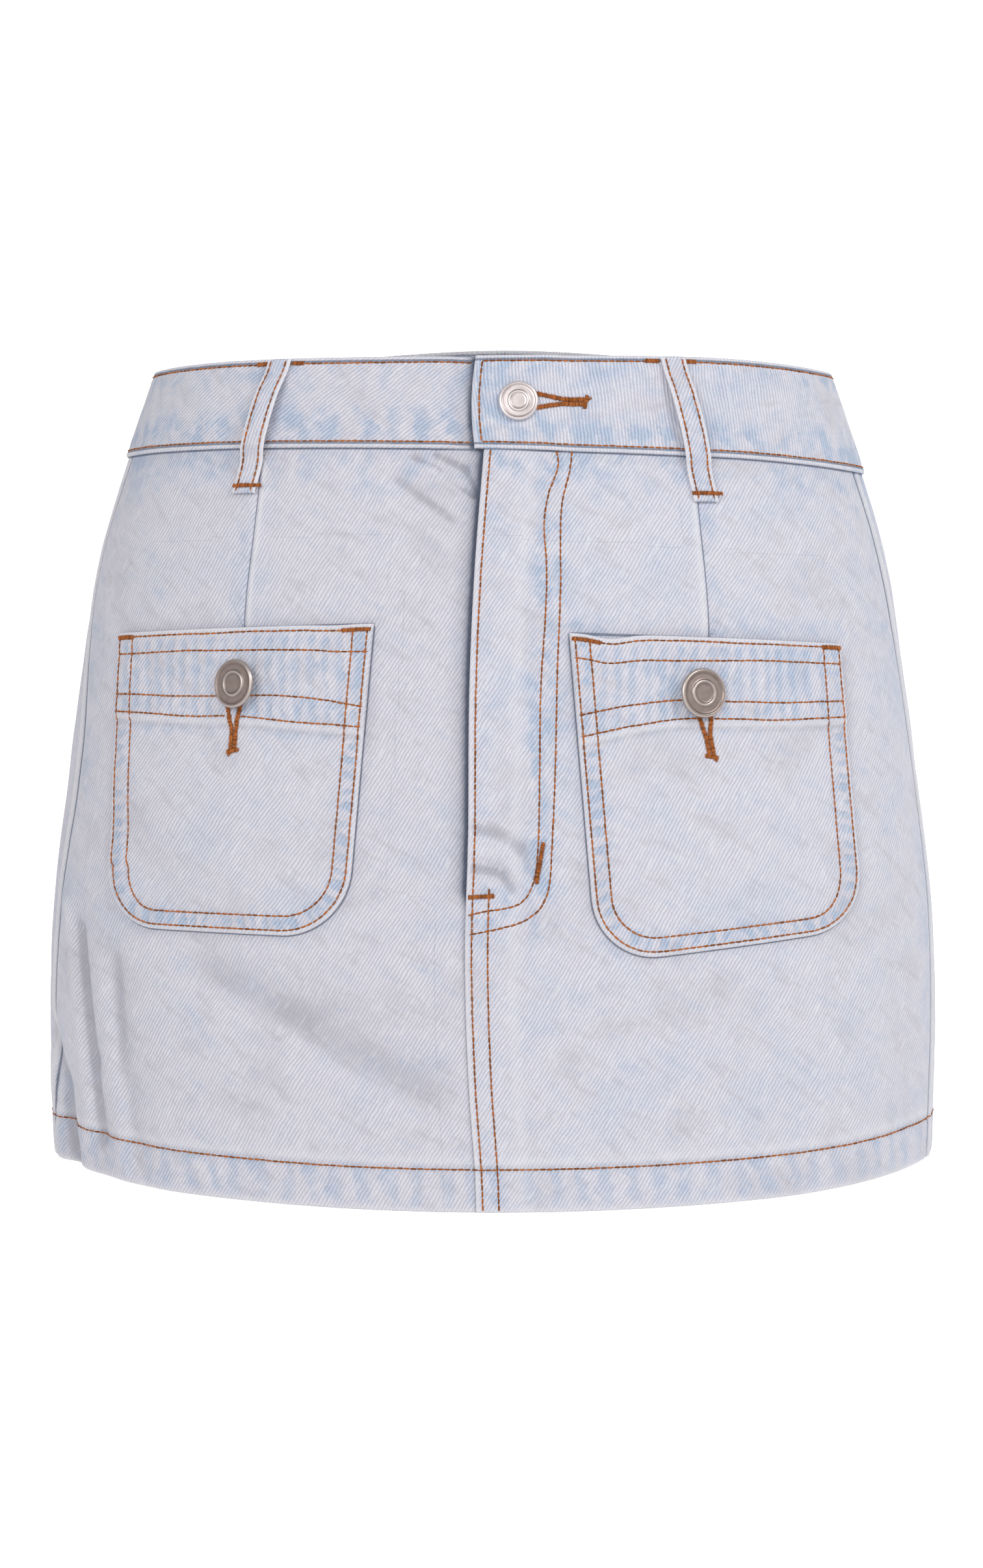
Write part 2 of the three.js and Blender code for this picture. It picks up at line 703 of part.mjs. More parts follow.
function button(frame, radius, outerFace, backingFace, backingInside) {
  const capBack = outerFace + SEAM_GAP;
  const headFace = backingInside - SEAM_GAP;
  const seat = backingFace + SEAM_GAP;
  return turned([
    [0, headFace - NAIL_HEAD_THICKNESS],
    [NAIL_HEAD_RADIUS, headFace - NAIL_HEAD_THICKNESS],
    [NAIL_HEAD_RADIUS, headFace],
    [NAIL_RADIUS, headFace],
    [NAIL_RADIUS, seat],
    [SHANK_RADIUS, seat],
    [SHANK_RADIUS, capBack],
    ...CAP_PROFILE.map(({ across, rise }) => [across * radius, capBack + rise]),
  ]).applyMatrix4(frame);
}

const shankHole = (geometry, frame) => drilled(geometry, frame, SHANK_RADIUS + HOLE_PLAY);
const nailHole = (geometry, frame) => drilled(geometry, frame, NAIL_RADIUS + HOLE_PLAY);

// Zip and slider

const ZIP_ROWS = [
  ZIP_TOP_Z, ROW_HEIGHTS[0], CHAIN_TOP_Z + 1, CHAIN_TOP_Z,
  ...ROW_HEIGHTS.filter((z) => z < CHAIN_TOP_Z && z > ZIP_FOOT_Z + 6), ZIP_FOOT_Z,
];

function zipWall() {
  return clothWall(ZIP_ROWS.length, ZIP_SECTION.length, (r, c) => {
    const z = ZIP_ROWS[r];
    const column = ZIP_SECTION[c];
    const tapeFace = ZIP_SECTION[1].face;
    const aboveChain = z > CHAIN_TOP_Z && c < ZIP_SECTION.length - 1;
    const face = aboveChain ? Math.min(column.face, tapeFace) : column.face;
    const around = roundFrom(flyEdgeAt(z) + column.across, z);
    return { around, z, out: face, thickness: face - column.back };
  });
}

function sliderFrame() {
  return frameOn(roundFrom(flyEdgeAt(SLIDER_Z) + ZIP_AXIS, SLIDER_Z), SLIDER_Z);
}

function parted(zipGeometry) {
  const notch = block(sliderFrame(), SLIDER_POST_WIDTH + 2 * SEAM_GAP, -BORE_REACH, BORE_REACH,
    -BORE_REACH * 2, SLIDER_HEIGHT / 2 + SEAM_GAP);
  return toGeometry(toManifold(zipGeometry).subtract(notch));
}

function slider() {
  const frame = sliderFrame();
  const half = SLIDER_HEIGHT / 2;
  const frontBack = SLIDER_FRONT - SLIDER_PLATE;
  const backFront = SLIDER_BACK + SLIDER_PLATE;
  const pullBack = SLIDER_FRONT + PULL_STANDOFF;
  const plates = block(frame, SLIDER_WIDTH, frontBack, SLIDER_FRONT, -half, half)
    .add(block(frame, SLIDER_WIDTH, SLIDER_BACK, backFront, -half, half));
  const post = block(frame, SLIDER_POST_WIDTH, backFront - BITE, frontBack + BITE, -half, half);
  const lug = block(frame, PULL_WIDTH, SLIDER_FRONT - BITE, pullBack + BITE, -half, -half + LUG_LENGTH);
  const pull = block(frame, PULL_WIDTH, pullBack, pullBack + PULL_THICKNESS, -half, PULL_LENGTH - half);
  return toGeometry(plates.add(post).add(lug).add(pull));
}

// Where the buttons go through

const waistFrame = frameOn(roundFrom(WAIST_BUTTON.across, WAIST_BUTTON.z), WAIST_BUTTON.z);
const fronts = { right: frontPanel(-1), left: frontPanel(1) };

for (const pocket of POCKETS) {
  const side = pocket.sign > 0 ? 'left' : 'right';
  const frame = frameOn(roundFrom(pocket.buttonAcross, pocket.buttonZ), pocket.buttonZ);
  const down = (pocket.topInnerZ - pocket.buttonZ) / (pocket.topInnerZ - pocket.bottomInnerZ);
  const face = pocketPlay(0.5, down) + FACING_THICKNESS;
  add(pocket.name, shankHole(pocketWall(pocket), frame), DENIM);
  add(`button_${pocket.name}`, button(frame, POCKET_BUTTON_RADIUS, face, 0, -CLOTH), DARK_PEWTER, 0.45, 0.8);
  fronts[side] = nailHole(fronts[side], frame);
}

add('front_right', fronts.right, DENIM);
add('front_left', fronts.left, DENIM);
add('back_right', backPanel(-1), DENIM);
add('back_left', backPanel(1), DENIM);
add('waistband_right', nailHole(bandHalf(-1), waistFrame), DENIM_BAND);
add('waistband_left', shankHole(bandHalf(1), waistFrame), DENIM_BAND);
const underlapInside = UNDERLAP_PROUD - BAND_THICKNESS;
const waistButton = button(waistFrame, WAIST_BUTTON_RADIUS, TAB_PROUD, UNDERLAP_PROUD, underlapInside);
add('button_waist', waistButton, PEWTER, 0.4, 0.8);
for (const loop of LOOPS) add(loop.name, loopWall(loop), DENIM_BAND);
add('zip', parted(zipWall()), ZIP_METAL, 0.6, 0.3);
add('zip_slider', slider(), ZIP_METAL, 0.4, 0.8);

export default skirt;
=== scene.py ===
import math

import bmesh
import bpy
import numpy as np
from bpy.props import FloatProperty, FloatVectorProperty, IntProperty, PointerProperty
from mathutils import Matrix, Vector


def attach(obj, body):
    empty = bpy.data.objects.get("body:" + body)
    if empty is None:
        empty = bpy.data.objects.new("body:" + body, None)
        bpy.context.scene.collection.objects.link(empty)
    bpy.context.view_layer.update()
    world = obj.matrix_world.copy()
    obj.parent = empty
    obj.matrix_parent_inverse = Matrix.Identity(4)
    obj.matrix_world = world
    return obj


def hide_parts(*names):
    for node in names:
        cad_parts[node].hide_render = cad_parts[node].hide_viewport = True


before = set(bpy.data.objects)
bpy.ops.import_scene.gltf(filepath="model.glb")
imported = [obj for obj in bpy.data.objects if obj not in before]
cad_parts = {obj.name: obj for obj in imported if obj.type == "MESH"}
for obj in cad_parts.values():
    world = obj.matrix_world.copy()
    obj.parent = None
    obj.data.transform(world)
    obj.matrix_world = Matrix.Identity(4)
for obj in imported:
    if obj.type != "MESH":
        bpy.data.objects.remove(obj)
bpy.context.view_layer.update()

bl_info = {
    "name": "Denim mini skirt",
    "version": (1, 0, 0),
    "blender": (4, 5, 0),
    "location": "View3D > Sidebar > Skirt",
    "description": "Dresses the solid skirt in stitched, bleached twill denim",
    "category": "Object",
}

# The skirt's form is worked out in millimetres, as in the solids, and laid into Blender in metres.
MM = 0.001

# Cloth and clearances
CLOTH = 1.3
SEAM_GAP = 0.3
SEWN_GAP = 0.4
HEM_DEPTH = 18
HEM_LEVEL = -330
HEM_THICKNESS = 2.6

# Waistband and its overlap tab
BAND_PROUD = 1.3
BAND_THICKNESS = 2.5
TAB_PROUD = 2.9
TAB_END = 0
TAB_BOW = 1.5
TAB_EASE = (28, 42)
UNDERLAP_END = 27
UNDERLAP_PROUD = -0.2
UNDERLAP_DIP = (-14, -2)

# Fly
LAP_PROUD = 2.4
LAP_EASE = 46
FLY_DIP = 0.4
FLY_DIP_WIDTH = 24
UNDERLAP_WIDTH = 3.4
FLY_CLOSES = (-220, -231)
FLY_FLAT_BELOW = -264

# Side seams, as shares of the way round: height, wearer's right, wearer's left
SIDE_SEAMS = [
    (-366, 0.426, 0.445),
    (-290, 0.422, 0.446),
    (-235, 0.412, 0.448),
    (-180, 0.398, 0.449),
    (-149, 0.402, 0.445),
    (-120, 0.418, 0.441),
    (-91, 0.43, 0.434),
    (-36, 0.427, 0.431),
]

# Darts
BACK_DART = 0.73
DART_TOP = 94
DART_LOW = 99.5
DART_END_Z = -122
BACK_DART_END_Z = -112

# Pockets and belt loops
POCKET_PLAY = 1.1
FACING_PAST_ROW = 2.7
FACING_THICKNESS = 2.4
LOOP_WIDTH = 11
LOOP_THICKNESS = 2.2
LOOP_TOP_DROP = 0.8
LOOP_LENGTH = 57

# Rows of stitching: how far inside a piece's edge they run
BAND_TOP_ROW = 2.6
BAND_FOOT_ROW = 2.8
TAB_ROW = 3.3
SEAM_ROW = 2.9
SEAM_SECOND_ROW = 9.6
POCKET_ROW = 2.2
POCKET_SECOND_ROW = (8.2, 10.6)
LOOP_ROW = 2.0

# How large each kind of piece is, which sets how many points it takes
PANEL_LENGTH = 318
FRONT_WIDTH = 215
BACK_WIDTH = 290
BAND_LENGTH = 410
BAND_DEPTH = 39
POCKET_PITCH = 1.3
POCKET_WIDTH = 120
SEAM_STANDOFF = 0.03

# The cut of what shows of each piece: width and length in metres, and area in square metres
FRONT_CUT = (0.226, 0.336), 0.0672
BACK_CUT = (0.292, 0.346), 0.0925
BAND_RIGHT_CUT = (0.452, 0.04), 0.0176
BAND_LEFT_CUT = (0.425, 0.042), 0.0172
POCKET_CUT = (0.126, 0.136), 0.0158
LOOP_CUT = (0.0115, 0.06), 0.00066

# Buttons
WAIST_BUTTON_RADIUS = 8.4
POCKET_BUTTON_RADIUS = 10.4
SHANK_RADIUS = 3
NAIL_RADIUS = 1.2
NAIL_HEAD_RADIUS = 4.3
LEAN_SHIFT = 9

# Buttonholes: how far from the button's middle they start, their length and their tail's
TAB_HOLE_START = 6.6
TAB_HOLE = (21.5, 2.4)
POCKET_HOLE_START = 7.1
POCKET_HOLE = (20.5, 2.2)

# Horizontal sections of the outer face: height, half width, depths in front and behind, squareness
SECTIONS = [
    (-366, 194.5, 117.5, 117, 2.28),
    (-320, 196.2, 117.5, 118.5, 2.28),
    (-270, 197, 117, 120.5, 2.28),
    (-225, 194.8, 116, 122.5, 2.28),
    (-180, 189.3, 114.5, 123.5, 2.26),
    (-130, 182.8, 112, 121.5, 2.24),
    (-80, 175, 107, 114.5, 2.2),
    (-40, 163.6, 101, 105, 2.16),
    (4, 148.8, 94, 94, 2.12),
    (26, 142, 89, 89, 2.1),
]

# Heights of the edges by the share of the way round: share, waist, waistband's foot, hem
EDGES = [
    (-1.5, 2, -42.5, -341),
    (-1, 22.2, -19, -348),
    (-0.5, 4, -34, -341),
    (-0.25, 2.8, -35.5, -351.6),
    (0, 1.9, -37.6, -356),
    (0.25, 2.6, -40.4, -351.6),
    (0.5, 2, -42.5, -341),
    (1, 22.2, -19, -348),
    (1.5, 4, -34, -341),
]

# The fly's folded edge and the seam below it: height, millimetres round from centre front
FLY_EDGE = [
    (-366, 2), (-340, 1.2), (-300, -1.6), (-250, -3), (-200, -1.7), (-140, -1.4), (-90, 0.4), (-36, 4),
]

# Folds: from (round, height), to (round, height), width, depth, in (-) or out (+). FOLDS are the
# solids' own and CREASES are the finer ones.
FOLDS = [
    (-224, -284, -206, -312, 8, -3.2),
    (-207, -308, -195, -366, 9, -4.2),
    (-194, -235, -168, -366, 11, -1.7),
    (-164, -250, -146, -352, 10, -1.3),
    (-128, -250, -12, -312, 17, -1.6),
    (-120, -292, -40, -338, 20, 1.2),
    (86, -256, 140, -302, 15, -1.1),
    (150, -262, 176, -340, 18, 1.3),
    (-34, -44, -14, -56, 7, -0.9),
    (150, -60, 178, -104, 16, 1),
    (-318, -214, -292, -362, 14, -2.4),
    (-362, -246, -350, -366, 18, 2),
    (336, -226, 310, -366, 13, -2.6),
    (386, -196, 376, -350, 19, 1.8),
    (424, -170, 482, -206, 16, -1.3),
]
CREASES = [
    (-27, -40, -14, -46.5, 1.8, -1.3),
    (-18, -39, -3, -46, 1.8, -1.5),
    (-4, -45, 1, -56, 1.8, -1.2),
    (-22, -44, -4, -53, 2.2, 1.2),
    (-15, -47, 1, -58, 1.9, -1.5),
    (-34, -49, -8, -68, 3, -1.1),
    (-40, -56, -6, -82, 3.4, 0.8),
    (-26, -70, -3, -92, 4, -0.35),
    (-202, -226, -180, -328, 6, 2),
    (-192, -238, -180, -300, 4.4, -2.6),
    (-180, -296, -174, -334, 4.4, -2.2),
    (-163, -250, -161, -300, 4, -0.7),
    (-213, -316, -197, -342, 4.2, -2.2),
    (-166, -192, -122, -228, 13, -1.5),
    (-226, -292, -207, -352, 5, 1.6),
    (-168, -244, -150, -346, 5, -0.6),
    (-175, -262, -158, -346, 6, 0.9),
    (-124, -253, -70, -276, 11, -2),
    (-78, -274, -8, -312, 12, -2.4),
    (-118, -266, -20, -322, 9, 0.6),
    (-182, -52, -150, -66, 5, -0.5),
    (-60, -262, -16, -276, 7, -0.5),
    (-92, -300, -50, -318, 6, -0.4),
    (-112, -318, -84, -344, 5, -0.4),
    (-30, -248, -4, -262, 4, -0.5),
    (40, -262, 66, -288, 7, -0.4),
    (108, -302, 132, -330, 6, -0.4),
    (182, -176, 196, -236, 6, -0.6),
    (190, -250, 206, -330, 7, -0.8),
    (118, -62, 134, -104, 6, -0.5),
    (60, -52, 72, -96, 7, 0.4),
    (-252, -60, -262, -128, 8, -0.9),
    (-300, -90, -342, -150, 9, -0.8),
    (-398, -150, -352, -196, 9, -0.9),
    (262, -64, 272, -136, 8, -0.9),
    (318, -110, 358, -168, 9, -0.8),
    (410, -240, 446, -300, 9, -0.8),
    (-440, -230, -470, -300, 10, -0.9),
]

# Crumples at the foot of the fly's lap
FLY_CREASES = [
    (-1, -212.5, 12, -214.6, 2.6, -2),
    (12, -214.4, 17.6, -223, 2.6, -2),
    (3, -218.6, 11, -219.4, 3.2, 0.9),
    (-1, -195.5, 12, -199, 3.4, -1.5),
    (12, -199, 23, -206, 3.6, -1.5),
    (20, -203, 25, -216, 3.4, -1),
    (-2, -204, 14, -206.4, 4, 1),
    (18, -50, 23, -104, 4.5, 0.7),
]

# Pockets: side, distances round from centre front and heights of the corners, the button's place and
# lean; then rows of stitching across the facing, as share of the way out and three depths below the mouth
POCKETS = {
    "pocket_right": dict(
        sign=-1, top=(41.5, 166.5), bottom=(53, 168.5), top_z=(-110.8, -113.8), bottom_z=(-242, -239),
        corner=28, button=(-102.2, -136.2), lean=14, hole_lean=-0.6, mouth_dip=0.4, seed=2,
        rows=[(0, 11.8, 34.6, 43.4), (0.27, 10.4, 29.9, 40.3), (0.46, 9.8, 29.4, 38.2),
              (0.6, 9.7, 29.4, 38.1), (0.79, 9.6, 28.4, 36.6), (1, 9.7, 27.6, 35)],
    ),
    "pocket_left": dict(
        sign=1, top=(40, 162), bottom=(52, 172), top_z=(-114.8, -118.8), bottom_z=(-252.5, -238.5),
        corner=27, button=(96.8, -140.2), lean=-12, hole_lean=3.2, mouth_dip=2, seed=6,
        rows=[(0, 10.2, 34.4, 43.7), (0.12, 11, 31.7, 40.7), (0.17, 10.9, 30.6, 39.2),
              (0.35, 10.8, 28, 36.2), (0.52, 10.2, 28.6, 36.4), (0.74, 10, 28.8, 36.9), (1, 10, 28.2, 35.6)],
    ),
}
WAIST_BUTTON = (18.2, -18)

# Belt loops: shares of the way round at the top and at the foot, and the reach below the band
LOOPS = {
    "belt_loop_front_right": (-0.2165, -0.2275, 19.5),
    "belt_loop_front_left": (0.2115, 0.2195, 19.5),
    "belt_loop_back_right": (-0.715, -0.708, 18),
    "belt_loop_back_left": (0.715, 0.708, 18),
    "belt_loop_back_centre": (1, 1, 18),
}
LOOP_RISE = [(0, 0.35), (0.1, 0.5), (0.26, 2.9), (0.46, 3.7), (0.62, 3.1), (0.82, 0.6), (1, 0.35)]

# The two rows of stitching that round the fly: millimetres round from centre front, height
FLY_STITCH_INNER = [
    (34.3, -38), (35, -45), (31, -57), (29.3, -70), (30.5, -86), (30.3, -104), (28.4, -138), (28, -176),
    (27.4, -205), (25.4, -219), (21, -226.6), (14, -229.2), (6, -230.4), (-1.6, -232.2),
]
FLY_STITCH_OUTER = [
    (40.8, -38), (40, -46), (36.6, -62), (36.4, -96), (35.2, -133), (34.5, -172), (33.2, -204),
    (32, -220), (28.6, -229), (21, -234.8), (11.5, -237.6), (-2.9, -240.6),
]

# Zip
ZIP_AXIS = 6.6
ZIP_TOP_Z = -42
ZIP_FOOT_Z = -217
CHAIN_TOP_Z = -60
ZIP_TAPES = [(-8, -2.1), (3.7, -2.1), (10.3, -2.1), (20, -1.3)]
TAPE_THICKNESS = 0.8
TOOTH_PITCH = 1.25
TOOTH_OFFSET = 0.95
TOOTH_SIZE = (3.6, 1.1, 0.85)
TOOTH_OUT = -1.55
TOOTH_EDGE = 0.16

# The photograph's frame: its long side, the row level with the eye and the focal length, in its pixels,
# and the eye's height in millimetres
PHOTO_LONG_SIDE = 2411
PHOTO_EYE_ROW = 1100
PHOTO_FOCAL_PIXELS = 5735
PHOTO_EYE_Z = -149


# Small maths on arrays

def mix(a, b, t):
    return a + (b - a) * t


def share_of(value):
    return np.clip(value, 0, 1)


def ease(start, end, value):
    t = share_of((np.asarray(value, float) - start) / (end - start))
    return t * t * (3 - 2 * t)


def curve(rows, column):
    """A smooth curve through a table's rows, from the first column to another."""
    xs = np.array([row[0] for row in rows], float)
    ys = np.array([row[column] for row in rows], float)
    last = len(xs) - 1
    before = np.maximum(np.arange(len(xs)) - 1, 0)
    after = np.minimum(np.arange(len(xs)) + 1, last)
    slopes = (ys[after] - ys[before]) / (xs[after] - xs[before])

    def value(x):
        at = np.clip(np.asarray(x, float), xs[0], xs[-1])
        i = np.clip(np.searchsorted(xs, at, side="right") - 1, 0, last - 1)
        step = xs[i + 1] - xs[i]
        t = (at - xs[i]) / step
        rise = t * t * (3 - 2 * t)
        leave = t * (1 - t) ** 2
        arrive = t * t * (t - 1)
        return ys[i] * (1 - rise) + ys[i + 1] * rise + step * (leave * slopes[i] + arrive * slopes[i + 1])

    return value


def near(distance, width):
    """1 at a distance of 0, falling off smoothly over a width."""
    return np.exp(-((distance / width) ** 2))


def bands(*rows):
    """The sum of soft bands, each an amount at a distance of 0 that falls off over a width."""
    return sum(amount * near(distance, width) for amount, distance, width in rows)


def nearest(*distances):
    """The distance, of several with signs, that is nearest to 0."""
    stack = np.stack(np.broadcast_arrays(*distances))
    chosen = np.argmin(np.abs(stack), axis=0)
    return np.take_along_axis(stack, chosen[None], axis=0)[0]


def run_along(points):
    """Length of the line up to each of its points."""
    return np.concatenate([[0], np.cumsum(np.linalg.norm(np.diff(points, axis=0), axis=1))])


def uneven(run, seed, period):
    """A smooth wave of no regular length, between about -1 and 1."""
    phase = 1.7 * seed
    base = 2 * math.pi * np.asarray(run, float) / period
    total = np.sin(base + phase) + 0.7 * np.sin(base * 0.618 + 2.3 * phase + 1)
    return (total + 0.5 * np.sin(base * 1.73 + 0.6 * phase + 2)) / 2.2


half_width_at = curve(SECTIONS, 1)
front_depth_at = curve(SECTIONS, 2)
back_depth_at = curve(SECTIONS, 3)
squareness_at = curve(SECTIONS, 4)
waist_z = curve(EDGES, 1)
band_foot_z = curve(EDGES, 2)
hem_z = curve(EDGES, 3)
fly_edge = curve(FLY_EDGE, 1)
loop_rise = curve(LOOP_RISE, 1)
seam_right = curve(SIDE_SEAMS, 1)
seam_left = curve(SIDE_SEAMS, 2)


def side_seam(around, z):
    """Share of the way round of the side seam on the same side as a place."""
    return np.where(np.asarray(around) < 0, seam_right(z), seam_left(z))


# The outer face before its folds: a fine table of sections, read by share of the way round and height

LEVELS = np.arange(-376, 36, 2.0)
SHARES = np.linspace(0, 1, 721)


def section_tables():
    xs, ys, halves = [], [], []
    turn = np.linspace(0, math.pi, 1441)
    for z in LEVELS:
        power = 2 / squareness_at(z)
        depth = np.where(turn < math.pi / 2, front_depth_at(z), back_depth_at(z))
        x = half_width_at(z) * np.abs(np.sin(turn)) ** power
        y = -np.sign(np.cos(turn)) * depth * np.abs(np.cos(turn)) ** power
        arc = np.concatenate([[0], np.cumsum(np.hypot(np.diff(x), np.diff(y)))])
        xs.append(np.interp(SHARES * arc[-1], arc, x))
        ys.append(np.interp(SHARES * arc[-1], arc, y))
        halves.append(arc[-1])
    return np.array(xs), np.array(ys), np.array(halves)


SECTION_X, SECTION_Y, SECTION_HALF = section_tables()


def half_round(z):
    return np.interp(z, LEVELS, SECTION_HALF)


def face(around, z):
    """Points of the outer face, before folds, as an array of x, y, z in millimetres."""
    around, z = np.broadcast_arrays(np.asarray(around, float), np.asarray(z, float))
    share = (around + 1) % 2 - 1
    column = np.abs(share) * (len(SHARES) - 1)
    row = (np.clip(z, LEVELS[0], LEVELS[-1]) - LEVELS[0]) / (LEVELS[1] - LEVELS[0])
    c = np.clip(column.astype(int), 0, len(SHARES) - 2)
    r = np.clip(row.astype(int), 0, len(LEVELS) - 2)
    s, t = column - c, row - r

    def read(table):
        low = mix(table[r, c], table[r, c + 1], s)
        high = mix(table[r + 1, c], table[r + 1, c + 1], s)
        return mix(low, high, t)

    return np.stack([read(SECTION_X) * np.where(share < 0, -1, 1), read(SECTION_Y), z], -1)


def outward(around, z):
    reach, rise = 0.004, 2
    along = face(around + reach, z) - face(around - reach, z)
    up = face(around, z + rise) - face(around, z - rise)
    normal = np.cross(along, up)
    return normal / np.linalg.norm(normal, axis=-1, keepdims=True)


def over_folds(across, z, folds):
    """For each fold: its fade towards its ends, the distance beside it, its width and its depth."""
    for from_across, from_z, to_across, to_z, width, depth in folds:
        run_across, run_z = to_across - from_across, to_z - from_z
        length = math.hypot(run_across, run_z)
        along = ((across - from_across) * run_across + (z - from_z) * run_z) / length
        beside = ((across - from_across) * run_z - (z - from_z) * run_across) / length
        fade = ease(-width, width, along) * ease(length + width, length - width, along)
        yield fade, beside, width, depth


def push(across, z, folds=FOLDS + CREASES):
    """How far the folds move the cloth in or out."""
    total = np.zeros(np.broadcast(across, z).shape)
    for fade, beside, width, depth in over_folds(across, z, folds):
        total += depth * fade * near(beside, width)
    return total


def crease_shade_and_highlight(across, z, folds=FOLDS + CREASES):
    """Painted shade in the folds' troughs (+) and painted highlight on their ridges (-)."""
    total = np.zeros(np.broadcast(across, z).shape)
    for fade, beside, width, depth in over_folds(across, z, folds):
        steepness = min(abs(depth) / (0.35 * width), 1.6)
        total -= np.sign(depth) * steepness * fade * near(beside, 0.75 * width)
    return total


def slack(across, z):
    """The cloth's gentle unevenness, which no two places share."""
    slow = uneven(across + 0.35 * z, 3, 63) * uneven(z - 0.2 * across, 5, 54)
    quick = uneven(across - 0.6 * z, 8, 27) * uneven(z + 0.5 * across, 11, 31)
    return 0.3 * slow + 0.11 * quick


def cloth(around, z, out):
    """Points on the worn cloth, a distance out from the skirt's outer face."""
    around, z, out = np.broadcast_arrays(np.asarray(around, float), np.asarray(z, float), out)
    across = around * half_round(z)
    reach = out + push(across, z) + slack(across, z)
    return face(around, z) + outward(around, z) * reach[..., None]


def round_from(across, z):
    return across / half_round(z)


def roll(distance, radius):
    """1 at a folded edge, falling to 0 one radius inside it along a quarter circle."""
    t = share_of(1 - distance / radius)
    return 1 - np.sqrt(1 - np.minimum(t, 0.999) ** 2)


def spaced(start, end, pitch, fine=0.35, rim=3.0):
    """Places from start to end, closer together within rim of either end."""
    length = abs(end - start)
    rim_steps = [0, fine, 2.2 * fine, 3.8 * fine, 6 * fine]
    rim_steps = [step for step in rim_steps if step < min(rim, length / 3)]
    reach = rim_steps[-1] + fine * 3
    inner = np.linspace(reach, length - reach, max(int(length / pitch), 2))
    places = np.concatenate([rim_steps, inner, length - np.array(rim_steps[::-1])])
    return start + np.sign(end - start) * places


# Where the outer face of each piece lies, in millimetres out from the skirt's face

def dart_at(z):
    return mix(DART_TOP, DART_LOW, ease(-40, -115, z))


def dart_fold(beside, around, z, end_z):
    """A sewn dart: a narrow groove, with the side nearer the centre a little raised."""
    groove = near(beside, 1.1)
    raised = ease(-9, -1, beside) * (beside < 0)
    below = band_foot_z(around) - z
    fade = ease(0, 5, below) * ease(end_z, end_z + 10, z)
    return (-0.75 * groove + 0.45 * raised) * fade


def seam_dip(distance, depth=0.85, ridge=0.18):
    """A pressed seam: the cloth turns in at its edge, and may stand out a little beside it."""
    return -depth * near(distance, 1.4) + ridge * near(distance - 4, 2.2)


def hem_shape(around, z):
    """The turned hem: a rolled edge, a dip at its stitching and slanted puckers between."""
    across = around * half_round(z)
    above = z - hem_z(around)
    pull = near(above - HEM_DEPTH, 1.5)
    band = ease(0.5, 5, above) * ease(HEM_DEPTH + 4, HEM_DEPTH - 2, above)
    puckers = uneven(across + 0.7 * above, 4, 13) * (0.6 + 0.4 * uneven(across, 9, 71))
    return -1.15 * roll(above, 1.7) - 0.32 * pull + band * (0.16 + 0.3 * puckers)


def stitch_dip(distance, depth=0.3, width=1.3):
    return -depth * near(distance, width)


def polyline_distance(points, across, z):
    """Distance from each place on the cloth to a line of stitching."""
    best = np.full(np.broadcast(across, z).shape, 1e9)
    for (a0, z0), (a1, z1) in zip(points, points[1:]):
        run = (a1 - a0) ** 2 + (z1 - z0) ** 2
        t = share_of(((across - a0) * (a1 - a0) + (z - z0) * (z1 - z0)) / run)
        best = np.minimum(best, np.hypot(across - mix(a0, a1, t), z - mix(z0, z1, t)))
    return best


def lap_out(across, z):
    beside = across - fly_edge(z)
    open_share = ease(FLY_FLAT_BELOW, FLY_CLOSES[1], z)
    lift = LAP_PROUD * (1 - ease(0, LAP_EASE, beside)) * open_share
    seam_lift = 0.75 * (1 - ease(2, 15, beside)) * (1 - open_share)
    edge = -(0.9 + 0.5 * open_share) * roll(beside, 1.8)
    zip_ridge = 0.55 * near(beside - 26, 3.5) * ease(-158, -120, z) * ease(-36, -60, z)
    zip_trough = -0.5 * near(beside - 21, 4) * ease(-178, -140, z) * ease(-70, -100, z)
    return lift + seam_lift + edge + zip_ridge + zip_trough + push(across, z, FLY_CREASES)


def front_left_out(around, z):
    across = around * half_round(z)
    side = (side_seam(around, z) - around) * half_round(z)
    out = lap_out(across, z) + seam_dip(side, 0.5) + hem_shape(around, z)
    out += dart_fold(across - dart_at(z), around, z, DART_END_Z)
    to_inner = polyline_distance(FLY_STITCH_INNER, across, z)
    to_outer = polyline_distance(FLY_STITCH_OUTER, across, z)
    out += np.where(across < 60, stitch_dip(np.minimum(to_inner, to_outer), 0.35), 0)
    return out + stitch_dip(across - fly_edge(z) - SEAM_ROW, 0.25)


def front_right_out(around, z):
    across = around * half_round(z)
    side = (side_seam(around, z) + around) * half_round(z)
    open_share = ease(FLY_FLAT_BELOW, FLY_CLOSES[1], z)
    beside = fly_edge(z) - across
    out = seam_dip(side, 0.5) + hem_shape(around, z)
    out -= FLY_DIP * open_share * (1 - ease(0, FLY_DIP_WIDTH, beside))
    out -= 0.35 * (1 - open_share) * (1 - ease(0, 6, beside))
    return out + dart_fold(-across - dart_at(z), around, z, DART_END_Z)


def back_out(around, z):
    half = half_round(z)
    side = (np.abs(around) - side_seam(around, z)) * half
    centre = (1 - np.abs(around)) * half
    beside = (BACK_DART - np.abs(around)) * half
    out = seam_dip(side, 0.5, 0.65) + seam_dip(centre) + hem_shape(around, z)
    return out + dart_fold(beside, around, z, BACK_DART_END_Z)


